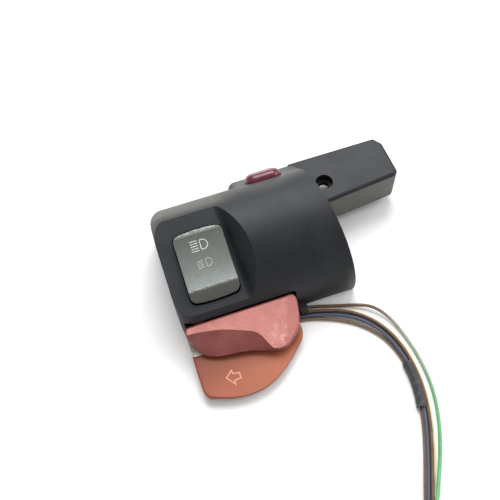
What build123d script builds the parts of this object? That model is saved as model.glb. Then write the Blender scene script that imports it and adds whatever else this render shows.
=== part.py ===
from build123d import *
import os
from math import acos, atan2, cos, degrees, hypot, pi, radians, sin, sqrt, tan

# A handlebar switch cluster, in millimetres. X runs along the handlebar, towards the lever bracket.
# Z points from the bar to the rider's side, and the origin is on the bar's axis. The front housing
# stands on the plane z = 0, in which the bar's axis lies.

# The handlebar and the fits
BAR_R = 11.0
SEAT_CLEARANCE = 0.05
BAR_ROOM = 0.6
SEAT_WALL = 2.0
WALL = 2.2
FIT = 0.25
RUN = 0.05
TOUCH = 0.05
OVERRUN = 150.0

# The drum of the front housing
DRUM_R = 29.5
DRUM_Y = 4.0
DRUM_Z = 8.5
LEFT_X = -37.5
LEFT_ROUND = 6.0
END_X = 36.4
END_YAW = 6.3
END_LEAN = 2.6

# The boss behind the drum, and the arm to the lever bracket
BOSS_LEFT_X = 0.5
BOSS_PROUD = 2.7
BOSS_TOP_Z = 21.2
BOSS_CORNER_R = 4.0
BOSS_END_ROUND = 3.5
BOSS_SUNK = 0.5
ARM_END_X = 75.4
ARM_FRONT_Y = 9.3
ARM_WIDTH = 26.7
ARM_BOTTOM_Z = 5.0
ARM_TOP_Z = 21.0
ARM_TAPER = 5.5
ARM_CHAMFER_X = 2.8
ARM_CHAMFER_Y = 4.2
ARM_CORNER = 2.0
ARM_ROUND = 1.8
ARM_HOLLOW_X = 38.2

# The screw hole in the arm
ARM_SCREW_X = 42.0
ARM_SCREW_Y = 20.3
ARM_SCREW_R = 2.55
ARM_HEAD_R = 3.9
ARM_HEAD_DEPTH = 3.5
ARM_PAD_THICK = 2.5
ARM_PAD_R = 6.1

# The sunk switch panel: a flat cut into the drum
PANEL_TILT = 21.7
PANEL_REACH = 21.3
PANEL_WALL_X = -7.9
PANEL_WALL_LEAN = 40.0
PANEL_WALL_SKEW = 3.4
PANEL_WALL_ROUND = 3.0

# The window of the paddles, and the hook that the wires pass under
WINDOW_LEFT_X = -36.0
WINDOW_ROOM = 0.8
WINDOW_TOP_Z = 17.0
WINDOW_ROUND = 1.5
HOOK_LEFT_X = 12.2
HOOK_WIDTH = 3.6
HOOK_FRONT_Y = -29.8
HOOK_BOTTOM_Z = 3.4
HOOK_HEIGHT = 3.0
HOOK_ROUND = 0.8

# The rear cover and the screws from below
COVER_THICK = 2.0
COVER_SCREWS = ((-30.0, 26.2), (6.2, 30.0), (20.5, -18.2))
COVER_COLUMN_R = 3.2
COVER_COLUMN_TOP_Z = 13.0
SCREW_R = 1.4
SCREW_HEAD_R = 2.7
SCREW_HEAD_H = 1.4
SCREW_SUNK = 0.2
SCREW_LENGTH = 9.5
SCREW_CROSS = 0.7
CLAMP_X = 28.5
CLAMP_Y = 18.0
CLAMP_R = 2.1
CLAMP_DEPTH = 12.0
CLAMP_COLUMN_R = 3.6
CLAMP_COLUMN_TOP_Z = 14.5
RIB_THICK = 2.0

# The rocker: its place on the panel, and its heights above or below the panel's face
ROCKER_X = -20.1
ROCKER_V = -1.8
ROCKER_WIDTH = 20.8
ROCKER_LENGTH = 29.5
ROCKER_CORNER = 3.0
ROCKER_BACK_ARCH = 1.1
ROCKER_FRONT_ARCH = 0.8
ROCKER_GAP = 0.35
ROCKER_EDGE = 0.35
ROCKER_SWING = 7.0
ROCKER_PIVOT_DEPTH = 4.8
ROCKER_CROWN = 3.6
ROCKER_BACK_RIM = 2.0
ROCKER_BACK_LOW = 2.2
ROCKER_FRONT_RIM = 5.4
ROCKER_FRONT_LOW = 1.2
ROCKER_DISH = 1.2
ROCKER_SKIRT = 3.4
ROCKER_WALL = 1.6
ROCKER_ROOF = 1.2
TRUNNION_R = 1.5
TRUNNION_LENGTH = 2.4
CHEEK_LENGTH = 6.4
CHEEK_DEPTH = 7.2
TUBE_R = 2.6
TUBE_BORE_R = 1.6
TUBE_DEPTH = 9.0
TUBE_TOP = 0.2
LEG_V = 7.0
LEG_WIDTH = 5.0
LEG_THICK = 1.6
LEG_SHORT = 2.6
BLADE_LENGTH = 2.4
BLADE_THICK = 0.4

# The detent under the rocker
PLUNGER_R = 1.5
PLUNGER_TIP_DEPTH = 10.9
PLUNGER_LENGTH = 5.0
TRACK_GAP = 0.15

# The frame under the rocker
FRAME_DEPTH = 11.7
FRAME_THICK = 1.5
FRAME_FRONT_V = 9.6
FRAME_BACK_V = 20.8
EAR_GAP = 0.5
EAR_THICK = 2.3
EAR_LENGTH = 6.8
CAM_LENGTH = 7.2
CAM_WIDTH = 6.4
CAM_TOP_DEPTH = 10.0
PAD_LENGTH = 3.0
PAD_WIDTH = 6.0
TAIL_R = 0.6
DIMMER_TAIL = 1.1
POST_X = 8.0
POST_V = 18.2
POST_R = 2.3
POST_SCREW_R = 1.2
POST_SCREW_LENGTH = 7.0
POST_HEAD_R = 2.1
POST_HEAD_H = 1.3

# The paddle carrier behind the window
CARRIER_LEFT_X = -33.0
CARRIER_RIGHT_X = 10.6
CARRIER_BACK_Y = -13.5
CARRIER_TOP_Z = 14.5
CARRIER_SCREWS = ((-28.4, -15.9), (8.8, -16.0))
CARRIER_SCREW_LENGTH = 8.0

# The horn paddle
HORN_LEFT_X = -37.0
HORN_WIDTH = 48.2
HORN_BACK_Y = -24.6
HORN_REACH = 18.6
HORN_BOTTOM_Z = 6.6
HORN_TOP_Z = 17.1
HORN_FALL = 23.0
HORN_CORNER = 2.2
HORN_ROUND = 0.9
HORN_SIDE_SHARES = ((0.008, 0.177), (0, 0), (1, 0), (0.998, 0.21))
HORN_FRONT_SHARES = (
    (0.998, 0.21), (0.969, 0.538), (0.944, 0.677), (0.892, 0.812), (0.828, 0.935), (0.753, 1),
    (0.697, 0.978), (0.612, 0.898), (0.496, 0.791), (0.29, 0.71), (0.203, 0.667), (0.147, 0.608),
    (0.1, 0.527), (0.058, 0.387), (0.008, 0.177),
)
SCOOP_TOP_SHARES = (
    (-0.023, 0.163), (0.031, 0.144), (0.083, 0.134), (0.184, 0.134), (0.282, 0.144), (0.415, 0.191),
    (0.548, 0.267), (0.654, 0.353), (0.715, 0.505), (0.742, 0.762), (0.747, 1.143),
)
SCOOP_LOW_SHARES = (
    (-0.023, 0.324), (0.023, 0.366), (0.073, 0.538), (0.166, 0.681), (0.28, 0.748), (0.405, 0.791),
    (0.518, 0.85), (0.612, 0.941), (0.675, 1.016), (0.705, 1.076), (0.722, 1.143),
)
HORN_SWING = 3.0
HORN_PIN_X = -30.2
HORN_PIN_Y = -20.3
HORN_PIN_R = 1.2
HORN_KNUCKLE_R = 2.5
HORN_KNUCKLE_Z = 6.1
HORN_KNUCKLE_H = 6.0
HORN_PIN_SEAT = 2.6
HORN_SPRING_X = 0.0
HORN_SPRING_Z = 10.6
HORN_BRIDGE_X = -20.0
HORN_BRIDGE_LENGTH = 8.0

# The nylon stop under the horn paddle's left end
STOP_LEFT_X = -36.7
STOP_GAP = 0.352
STOP_FRONT_Y = -32.2
STOP_BOTTOM_Z = 2.4
STOP_TOP_Z = 5.8
STOP_ROUND = 1.0
STOP_TONGUE_Y = -33.9
STOP_TONGUE_THICK = 0.5

# The turn signal paddle
TURN_LEFT_X = -36.9
TURN_WIDTH = 47.2
TURN_FRONT_Y = -55.6
TURN_REACH = 22.8
TURN_BOTTOM_Z = 2.9
TURN_THICK = 2.6
TURN_ROUND = 0.8
TURN_FRONT_SHARES = (
    (0, 0), (0.001, 0.447), (0.004, 0.671), (0.015, 0.759), (0.04, 0.829), (0.087, 0.868),
    (0.153, 0.912), (0.258, 0.972), (0.383, 1), (0.519, 0.969), (0.672, 0.842), (0.831, 0.596),
    (0.915, 0.439), (0.989, 0.259), (1, 0.167), (0.994, 0.04),
)
TURN_ROOT_SHARES = ((0.875, 0.0), (0.79, -0.2), (0.275, -0.2), (0.16, -0.115), (0.16, 0.0))
TURN_DISH_R = 300.0
TURN_DISH = 0.8
TURN_DISH_SHARE = (0.5, 0.45)
TURN_SWING = 3.0
TURN_PIN_Y = -21.2
TURN_PIN_Z = 4.7
TURN_PIN_R = 1.0
TURN_BARREL_R = 2.1
TURN_BARREL_LEFT_X = -24.0
TURN_BARREL_RIGHT_X = 0.0
LUG_THICK = 2.8
LUG_GAP = 0.2
LUG_FRONT = 2.3
TAIL_LEFT_X = -16.0
TAIL_RIGHT_X = -2.2
TAIL_BACK_Y = -14.7
TAIL_THICK = 2.2
TURN_SPRING_X = -12.6
TURN_SPRING_TOP_Z = 11.0
TURN_BRIDGE_X = -5.4
TURN_BRIDGE_LENGTH = 5.6
RIVET_SPACING = 3.4
MARGIN = 0.4

# The push button on the boss
BUTTON_X = 15.8
BUTTON_SHARE = 0.4
BUTTON_LENGTH = 16.3
BUTTON_WIDTH = 9.0
BUTTON_CORNER = 4.4
BUTTON_PROUD = 3.5
BUTTON_ROUND = 3.0
BUTTON_TRAVEL = 2.0
BUTTON_FLANGE = 0.9
BUTTON_FLANGE_THICK = 1.2
STEM_R = 3.4
STEM_DEPTH = 7.0
GUIDE_WALL = 1.1
GUIDE_FLOOR = 1.8
BUTTON_BRIDGE_LENGTH = 12.0
BUTTON_BRIDGE_WIDTH = 6.6
BUTTON_RIVET_SPACING = 10.0

# Springs, rivets and bridges
SPRING_R = 1.7
SPRING_WIRE_R = 0.25
SPRING_TURNS = 5
SPRING_ROOM = 0.35
DETENT_SPRING_R = 1.1
DETENT_WIRE_R = 0.2
RIVET_R = 0.9
RIVET_TAIL = 2.0
BRIDGE_THICK = 0.4
BRIDGE_WIDTH = 2.4
CONTACT_GAP = 0.06

# The cable outlet and the inner loom
OUTLET_INSET = 6.3
OUTLET_WIDTH = 3.5
OUTLET_FRONT_Y = -31.7
OUTLET_BACK_Y = -22.3
OUTLET_BOTTOM_Z = 0.4
OUTLET_TOP_Z = 5.4
CHANNEL_DEPTH = 4.4
LOOM_R = 1.5
LOOM_Z = 3.0
LOOM_POINTS = ((5.8, -20.2, 3.1), (5.8, -20.0, 16.0), (2.0, -10.5, 20.6))
LOOM_END_V = -0.2
LOOM_END_DEPTH = 7.0
LOOM_RADII = (1.6, 4.5, 7.0)

# The wires: the route of the bundle's middle, and each wire's distance to its outer side
WIRE_D = 1.4
BEND_SHARE = 0.45
ROUTE = (
    (7.6, -29.2), (13.0, -29.2), (21.5, -31.4), (31.0, -35.2), (39.3, -41.6), (44.8, -50.6),
    (47.2, -61.6), (46.9, -74.0), (43.7, -87.0), (38.2, -99.8), (32.2, -111.8), (27.6, -121.2),
)
LOW = (1.3, 0.75, 0.75, 0.75, 0.75, 0.75, 0.75, 0.75, 0.75, 0.75, 1.1, 2.0)
HIGH = (2.75, 2.1, 2.1, 2.1, 2.15, 2.1, 2.1, 2.1, 2.1, 2.1, 2.5, 3.4)
WIRES = {
    "wire_cream": ((1.6, 1.7, 2.0, 2.4, 2.2, 1.9, 1.7, 1.6, 1.6, 1.6, 1.6, 1.5), LOW),
    "wire_grey": ((0.0, 0.0, 0.1, 0.3, 0.2, 0.1, 0.0, 0.0, 0.0, 0.0, 0.0, 0.0), LOW),
    "wire_brown": ((-1.6, -1.7, -2.1, -2.6, -2.7, -2.1, -1.7, -1.6, -1.6, -1.6, -1.6, -1.5), LOW),
    "wire_dark_brown": ((0.8, 0.9, 1.2, 1.5, 1.2, 0.9, 0.8, 0.8, 0.8, 0.8, 0.8, 0.8), HIGH),
    "wire_blue": ((-0.8, -0.8, -0.7, -0.6, -0.8, -1.2, -1.1, -0.8, -0.8, -0.8, -0.8, -0.8), HIGH),
}
GREEN_WIRE = (
    (7.6, -25.6, 1.3), (12.6, -25.6, 0.9), (20.4, -27.0, 0.75), (28.6, -29.8, 0.75),
    (36.4, -32.3, 1.4), (43.0, -35.6, 2.2), (47.8, -42.4, 1.6), (50.8, -52.6, 0.8),
    (52.1, -65.0, 0.75), (51.2, -77.4, 0.75), (47.8, -89.0, 0.75), (42.6, -100.2, 0.75),
    (37.0, -109.0, 2.0), (32.8, -115.6, 4.5), (27.8, -121.1, 4.8),
)

# The torn sleeve that arches over two of the wires
TORN_POINTS = ((46.1, -63.4), (45.75, -73.4), (43.6, -82.4))
TORN_Z = 1.45
TORN_R = 1.85
TORN_THICK = 0.4
TORN_FROM = 60.0
TORN_TO = 205.0

# The sheath past the bundle, its coil and the connector
SLEEVE_R = 3.15
SLEEVE_LENGTH = 12.0
LOOM_GAP = 0.2
SHEATH_R = 2.75
LEAD_LENGTH = 34.0
COIL_GAP = 0.8
COIL_R = 33.0
COIL_HALF_TURNS = 3
HALF_TURN = 180.0
ARC_STEPS = 24
COIL_TAIL_R = 17.0
COIL_TAIL_TURN = 150.0
CONNECTOR_LENGTH = 18.0
CONNECTOR_WIDTH = 12.0
CONNECTOR_HEIGHT = 9.0
CONNECTOR_WALL = 1.2
CONNECTOR_DEPTH = 8.0
CONNECTOR_ROUND = 0.8
TERMINAL_WIDTH = 1.6
TERMINAL_THICK = 0.6
TERMINAL_LENGTH = 6.5
TERMINAL_COLUMNS = 3
TERMINAL_ROWS = 2
LATCH_LENGTH = 9.0
LATCH_WIDTH = 4.0
LATCH_THICK = 1.0
LATCH_STEP = 0.6

# What follows from the sizes above
SEAT_R = BAR_R + SEAT_CLEARANCE
SEAT_OUTER_R = SEAT_R + SEAT_WALL
SEAT_ROOM_R = SEAT_OUTER_R + FIT
TILT = radians(PANEL_TILT)
PANEL = Plane(
    origin=(0, DRUM_Y - PANEL_REACH * sin(TILT), DRUM_Z + PANEL_REACH * cos(TILT)),
    x_dir=(1, 0, 0),
    z_dir=(0, -sin(TILT), cos(TILT)),
)
ROCKER = PANEL.location * Pos(ROCKER_X, ROCKER_V, 0)
LEG_DEPTH = FRAME_DEPTH - LEG_SHORT
WINDOW_RIGHT_X = HORN_LEFT_X + HORN_WIDTH + WINDOW_ROOM
OUTLET_LEFT_X = TURN_LEFT_X + TURN_WIDTH - OUTLET_INSET
OUTLET_RIGHT_X = OUTLET_LEFT_X + OUTLET_WIDTH
STOP_RIGHT_X = TURN_LEFT_X + TURN_ROOT_SHARES[-1][0] * TURN_WIDTH - STOP_GAP
END = Plane(origin=(END_X, 0, 0), z_dir=(1, tan(radians(END_YAW)), tan(radians(END_LEAN))))
BOSS_BACK_Y = DRUM_Y + DRUM_R + BOSS_PROUD
CORNER_Y = BOSS_BACK_Y - BOSS_CORNER_R - DRUM_Y
CORNER_Z = BOSS_TOP_Z - BOSS_CORNER_R - DRUM_Z
BOSS_R = DRUM_R - BOSS_SUNK
SLOPE = atan2(CORNER_Z, CORNER_Y) + acos((BOSS_R - BOSS_CORNER_R) / hypot(CORNER_Y, CORNER_Z))
SLOPE_Y = (1 - BUTTON_SHARE) * (BOSS_R * cos(SLOPE)) + BUTTON_SHARE * (
    CORNER_Y + BOSS_CORNER_R * cos(SLOPE)
)
SLOPE_Z = (1 - BUTTON_SHARE) * (BOSS_R * sin(SLOPE)) + BUTTON_SHARE * (
    CORNER_Z + BOSS_CORNER_R * sin(SLOPE)
)
BUTTON = Plane(
    origin=(BUTTON_X, DRUM_Y + SLOPE_Y, DRUM_Z + SLOPE_Z),
    x_dir=(1, 0, 0),
    z_dir=(0, cos(SLOPE), sin(SLOPE)),
).location
MIN_Z = (Align.CENTER, Align.CENTER, Align.MIN)
MAX_Z = (Align.CENTER, Align.CENTER, Align.MAX)


def box(x0, x1, y0, y1, z0, z1):
    """A box between two corners."""
    return Pos((x0 + x1) / 2, (y0 + y1) / 2, (z0 + z1) / 2) * Box(x1 - x0, y1 - y0, z1 - z0)


def along_x(radius, x0, x1, y=0, z=0):
    """A cylinder along X."""
    return Pos((x0 + x1) / 2, y, z) * Rot(0, 90, 0) * Cylinder(radius, x1 - x0)


def along_y(radius, y0, y1, x, z):
    """A cylinder along Y."""
    return Pos(x, (y0 + y1) / 2, z) * Rot(90, 0, 0) * Cylinder(radius, y1 - y0)


def along_z(radius, z0, z1, x=0, y=0):
    """A cylinder along Z."""
    return Pos(x, y, (z0 + z1) / 2) * Cylinder(radius, z1 - z0)


def spring(radius, wire, length, turns):
    """A compression spring along +Z from the origin, both ends cut square."""
    rise = length - 2 * wire
    coil = Helix(pitch=rise / turns, height=rise, radius=radius, center=(0, 0, wire))
    return sweep(Plane(origin=coil @ 0, z_dir=coil % 0) * Circle(wire), path=coil)


def sunk_screw(radius, length):
    """A sunk screw along +Z, with a cross in its head."""
    top = SCREW_SUNK + SCREW_HEAD_H
    profile = Polyline(
        (0, SCREW_SUNK), (SCREW_HEAD_R, SCREW_SUNK), (radius, top), (radius, length), (0, length),
        close=True,
    )
    body = revolve(Plane.XZ * make_face(profile), Axis.Z)
    bar = Box(2 * radius, SCREW_CROSS, SCREW_CROSS, align=MIN_Z)
    return body - Pos(0, 0, SCREW_SUNK) * (bar + Rot(0, 0, 90) * bar)


def recess_cutter(inset):
    """What the sunk panel takes from the drum: a flat floor, and a wall that leans right."""
    lean = radians(PANEL_WALL_LEAN)
    foot = inset * (1 - sin(lean)) / cos(lean)
    side = Polyline(
        (-OVERRUN, 0), (foot, 0), (foot + DRUM_R * tan(lean), DRUM_R), (-OVERRUN, DRUM_R),
        close=True,
    )
    profile = make_face(side)
    corner = profile.vertices().sort_by_distance((foot, 0))[0]
    profile = fillet(corner, PANEL_WALL_ROUND + inset)
    block = extrude(Plane.XZ * profile, OVERRUN, both=True)
    return PANEL.offset(-inset).location * Pos(PANEL_WALL_X, 0, 0) * Rot(0, 0, PANEL_WALL_SKEW) * block


def drum_form(inset, floor=-WALL):
    """The drum with its boss, cut off at the height floor, with its other faces moved in by inset."""
    drum_circle = Pos(DRUM_Y, DRUM_Z) * Circle(DRUM_R - inset)
    drum = extrude(Plane.YZ.offset(LEFT_X + inset) * drum_circle, OVERRUN)
    drum = fillet(drum.faces().sort_by(Axis.X)[0].edges(), LEFT_ROUND - inset)
    drum -= Pos(0, 0, floor) * Box(2 * OVERRUN, 2 * OVERRUN, OVERRUN, align=MAX_Z)
    corner = Pos(BOSS_BACK_Y - BOSS_CORNER_R, BOSS_TOP_Z - BOSS_CORNER_R)
    foot = Pos(BOSS_BACK_Y - BOSS_CORNER_R, -DRUM_R)
    small = Circle(BOSS_CORNER_R - inset)
    large = Pos(DRUM_Y, DRUM_Z) * Circle(BOSS_R - inset)
    outline = make_hull(large.edges() + (corner * small).edges() + (foot * small).edges())
    outline &= Pos(0, floor) * Rectangle(OVERRUN, OVERRUN, align=(Align.CENTER, Align.MIN))
    boss = extrude(Plane.YZ.offset(BOSS_LEFT_X + inset) * outline, OVERRUN)
    left = boss.faces().sort_by(Axis.X)[0].edges()
    boss = fillet([e for e in left if e.center().Z > floor + TOUCH], BOSS_END_ROUND - inset)
    end = END.offset(-inset).location * Box(OVERRUN, OVERRUN, OVERRUN * 2, align=MIN_Z)
    return drum + boss - end - recess_cutter(inset)


def arm_outline(inset):
    """The arm seen from above."""
    slope = tan(radians(ARM_TAPER))
    back = ARM_FRONT_Y + ARM_WIDTH
    end_y = ARM_FRONT_Y + (ARM_END_X - END_X) * slope
    points = Polyline(
        (0, ARM_FRONT_Y - END_X * slope), (ARM_END_X - ARM_CORNER, end_y),
        (ARM_END_X, end_y + ARM_CORNER), (ARM_END_X, back - ARM_CHAMFER_Y),
        (ARM_END_X - ARM_CHAMFER_X, back), (0, back), close=True,
    )
    return offset(make_face(points), amount=-inset, kind=Kind.INTERSECTION)


def arm():
    """The solid arm, with its top and end edges rounded."""
    height = ARM_TOP_Z - ARM_BOTTOM_Z
    body = Pos(0, 0, ARM_BOTTOM_Z) * extrude(arm_outline(0), height)
    body &= box(END_X - WALL - BOSS_CORNER_R, 2 * ARM_END_X, 0, OVERRUN, 0, OVERRUN)
    root = body.faces().sort_by(Axis.X)[0]
    sharp = body.edges().filter_by_position(Axis.Z, ARM_BOTTOM_Z + WALL, OVERRUN)
    sharp = [e for e in sharp if e.center().X > root.center().X + TOUCH]
    return fillet(sharp, ARM_ROUND)


def arm_hollow():
    """The space under the arm, open below, round the pad of the screw."""
    roof = ARM_TOP_Z - WALL
    hollow = Pos(0, 0, ARM_BOTTOM_Z - WALL) * extrude(arm_outline(WALL), roof - ARM_BOTTOM_Z + WALL)
    hollow &= box(ARM_HOLLOW_X, ARM_END_X, 0, OVERRUN, 0, OVERRUN)
    pad_z = ARM_TOP_Z - ARM_HEAD_DEPTH - ARM_PAD_THICK
    return hollow - along_z(ARM_PAD_R, pad_z, ARM_TOP_Z, ARM_SCREW_X, ARM_SCREW_Y)


def arm_screw_hole():
    """The counterbore and the hole for the screw into the lever bracket."""
    head = along_z(ARM_HEAD_R, ARM_TOP_Z - ARM_HEAD_DEPTH, OVERRUN, ARM_SCREW_X, ARM_SCREW_Y)
    return head + along_z(ARM_SCREW_R, 0, OVERRUN, ARM_SCREW_X, ARM_SCREW_Y)


def rib(x, y, top):
    """A rib that joins a column to the wall beside it."""
    low, high = sorted((y, 2 * y))
    return box(x - RIB_THICK / 2, x + RIB_THICK / 2, low, high, COVER_THICK, top)


def columns():
    """The columns inside the housing that the screws from below go into."""
    made = Part()
    for x, y in COVER_SCREWS:
        made += along_z(COVER_COLUMN_R, COVER_THICK, COVER_COLUMN_TOP_Z, x, y)
        made += rib(x, y, COVER_COLUMN_TOP_Z)
    for y in (CLAMP_Y, -CLAMP_Y):
        made += along_z(CLAMP_COLUMN_R, 0, CLAMP_COLUMN_TOP_Z, CLAMP_X, y)
        made += rib(CLAMP_X, y, CLAMP_COLUMN_TOP_Z)
    for x in (POST_X, -POST_X):
        made += ROCKER * Pos(x, POST_V, 0) * Cylinder(POST_R, FRAME_DEPTH, align=MAX_Z)
    return made & drum_form(WALL / 2)


def column_holes():
    """The holes in those columns."""
    made = Part()
    for x, y in COVER_SCREWS:
        made += along_z(SCREW_R + TOUCH, 0, SCREW_LENGTH + TOUCH, x, y)
    for y in (CLAMP_Y, -CLAMP_Y):
        made += along_z(CLAMP_R, -CLAMP_DEPTH, CLAMP_DEPTH, CLAMP_X, y)
    hole = Cylinder(POST_SCREW_R + TOUCH, POST_SCREW_LENGTH + TOUCH, align=MIN_Z)
    for x in (POST_X, -POST_X):
        made += ROCKER * Pos(x, POST_V, -FRAME_DEPTH - FRAME_THICK) * hole
    return made


def paddle_window():
    """The window that the paddles stand in, with its top corners rounded."""
    cut = box(WINDOW_LEFT_X, WINDOW_RIGHT_X, -OVERRUN, CARRIER_BACK_Y, -WALL, WINDOW_TOP_Z)
    top = cut.edges().filter_by(Axis.Y).group_by(Axis.Z)[-1]
    return fillet(top, WINDOW_ROUND)


def hook():
    """The block beside the window that keeps the wires down."""
    right = HOOK_LEFT_X + HOOK_WIDTH
    block = box(HOOK_LEFT_X, right, HOOK_FRONT_Y, 0, HOOK_BOTTOM_Z, HOOK_BOTTOM_Z + HOOK_HEIGHT)
    return fillet(block.edges().group_by(Axis.Y)[0], HOOK_ROUND) - drum_form(WALL / 2)


def rocker_plan(side, end):
    """The rocker seen from above, with arched ends, larger by side and by end."""
    x = ROCKER_WIDTH / 2 + side
    v = ROCKER_LENGTH / 2 + end
    back = v - ROCKER_BACK_ARCH
    front = ROCKER_FRONT_ARCH - v
    edges = [
        Line((-x, front), (-x, back)),
        ThreePointArc((-x, back), (0, v), (x, back)),
        Line((x, back), (x, front)),
        ThreePointArc((x, front), (0, -v), (-x, front)),
    ]
    face = make_face(Curve() + edges)
    return fillet(face.vertices(), ROCKER_CORNER)


def front_housing():
    body = drum_form(0, 0) + arm() - drum_form(WALL) - arm_hollow()
    body = body + columns() + hook() - column_holes() - arm_screw_hole() - paddle_window()
    swing = radians(ROCKER_SWING)
    half = ROCKER_LENGTH / 2
    end = half * cos(swing) + ROCKER_PIVOT_DEPTH * sin(swing) + ROCKER_GAP - half
    body -= ROCKER * extrude(rocker_plan(ROCKER_GAP, end), WALL * 2, both=True)
    side = 2 * FIT
    window = RectangleRounded(BUTTON_LENGTH + side, BUTTON_WIDTH + side, BUTTON_CORNER + FIT)
    body -= BUTTON * extrude(window, WALL * 2, both=True)
    body -= along_x(BAR_R + BAR_ROOM, END_X, 2 * ARM_END_X)
    return body - along_x(SEAT_ROOM_R, -OVERRUN, END_X + ARM_CORNER)


def rear_cover():
    plate = drum_form(WALL + FIT, 0) & box(-OVERRUN, OVERRUN, -OVERRUN, OVERRUN, -WALL, COVER_THICK)
    seat = drum_form(0, 0) & along_x(SEAT_OUTER_R, LEFT_X, 2 * END_X)
    body = plate + seat - along_x(SEAT_R, -OVERRUN, OVERRUN)
    for y in (CLAMP_Y, -CLAMP_Y):
        body -= along_z(CLAMP_COLUMN_R + FIT, -WALL, WALL, CLAMP_X, y)
    for x, y in (*COVER_SCREWS, *CARRIER_SCREWS):
        body -= along_z(SCREW_R + RUN, -WALL, WALL, x, y)
        sink = Cone(SCREW_HEAD_R + SCREW_SUNK, SCREW_R, SCREW_HEAD_H + SCREW_SUNK, align=MIN_Z)
        body -= Pos(x, y, 0) * sink
    return body - outlet_room()


def outlet_room():
    """The notch that leaves the outlet free of the cover."""
    return box(
        OUTLET_LEFT_X - FIT, OUTLET_RIGHT_X + FIT, -OVERRUN, OUTLET_BACK_Y + CHANNEL_DEPTH,
        -WALL, COVER_THICK,
    )


def cover_screws():
    return [Pos(x, y, 0) * sunk_screw(SCREW_R, SCREW_LENGTH) for x, y in COVER_SCREWS]


def paddle_carrier_screws():
    return [Pos(x, y, 0) * sunk_screw(SCREW_R, CARRIER_SCREW_LENGTH) for x, y in CARRIER_SCREWS]


def rocker_profile():
    """The rocker's solid seen from its side: a dished top between two rims."""
    half = ROCKER_LENGTH / 2
    back = (half - ROCKER_BACK_RIM, ROCKER_CROWN)
    front = (-half + ROCKER_FRONT_RIM, ROCKER_CROWN)
    middle = ((back[0] + front[0]) / 2, ROCKER_CROWN - ROCKER_DISH)
    edges = [
        Line((-half, -ROCKER_SKIRT), (half, -ROCKER_SKIRT)),
        Line((half, -ROCKER_SKIRT), (half, ROCKER_BACK_LOW)),
        Line((half, ROCKER_BACK_LOW), back),
        ThreePointArc(back, middle, front),
        Line(front, (-half, ROCKER_FRONT_LOW)),
        Line((-half, ROCKER_FRONT_LOW), (-half, -ROCKER_SKIRT)),
    ]
    return make_face(Curve() + edges)


def rocker_cap():
    side = Plane.YZ.offset(-ROCKER_WIDTH / 2)
    body = extrude(side * rocker_profile(), ROCKER_WIDTH)
    body &= extrude(rocker_plan(0, 0), OVERRUN, both=True)
    rim = body.edges().filter_by_position(Axis.Z, 0, OVERRUN)
    body = fillet([e for e in rim if e.bounding_box().max.Z > ROCKER_FRONT_LOW - TOUCH], ROCKER_EDGE)
    roof = ROCKER_CROWN - ROCKER_DISH - ROCKER_ROOF
    room = Box(
        ROCKER_WIDTH - 2 * ROCKER_WALL, ROCKER_LENGTH - 2 * ROCKER_WALL, roof + OVERRUN, align=MAX_Z
    )
    low_front = ROCKER_FRONT_LOW - ROCKER_ROOF
    body -= Pos(0, 0, low_front) * room
    body -= Pos(0, (ROCKER_FRONT_RIM - ROCKER_BACK_RIM) / 2, roof) * Box(
        ROCKER_WIDTH - 2 * ROCKER_WALL,
        ROCKER_LENGTH - ROCKER_FRONT_RIM - ROCKER_BACK_RIM - 2 * ROCKER_WALL,
        roof + ROCKER_SKIRT,
        align=MAX_Z,
    )
    for side_x in (1, -1):
        cheek_x = side_x * (ROCKER_WIDTH / 2 - ROCKER_WALL / 2)
        body += Pos(cheek_x, 0, 0) * Box(ROCKER_WALL, CHEEK_LENGTH, CHEEK_DEPTH, align=MAX_Z)
        out = side_x * (ROCKER_WIDTH / 2 + TRUNNION_LENGTH)
        inner = side_x * (ROCKER_WIDTH / 2 - ROCKER_WALL)
        low, high = sorted((out, inner))
        body += along_x(TRUNNION_R, low, high, 0, -ROCKER_PIVOT_DEPTH)
    tube = Cylinder(TUBE_R, TUBE_DEPTH + roof, align=MAX_Z)
    body += Pos(0, 0, roof) * tube
    for leg_v in (LEG_V, -LEG_V):
        body += Pos(0, leg_v, roof) * Box(LEG_WIDTH, LEG_THICK, LEG_DEPTH + roof, align=MAX_Z)
    body -= Pos(0, 0, TUBE_TOP) * Cylinder(TUBE_BORE_R, OVERRUN, align=MAX_Z)
    return ROCKER * body


def rocker_blades():
    blade = Box(LEG_WIDTH, BLADE_LENGTH, BLADE_THICK, align=MAX_Z)
    return [ROCKER * Pos(0, v, -LEG_DEPTH) * blade for v in (LEG_V, -LEG_V)]


def detent_plunger():
    tip = Pos(0, 0, PLUNGER_R - PLUNGER_TIP_DEPTH) * Sphere(PLUNGER_R)
    rod = Pos(0, 0, PLUNGER_R - PLUNGER_TIP_DEPTH) * Cylinder(
        PLUNGER_R, PLUNGER_LENGTH - PLUNGER_R, align=MIN_Z
    )
    return ROCKER * (tip + rod)


def detent_spring():
    foot = PLUNGER_LENGTH - PLUNGER_TIP_DEPTH
    coil = spring(DETENT_SPRING_R, DETENT_WIRE_R, TUBE_TOP - foot, SPRING_TURNS)
    return ROCKER * Pos(0, 0, foot) * coil


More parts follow.
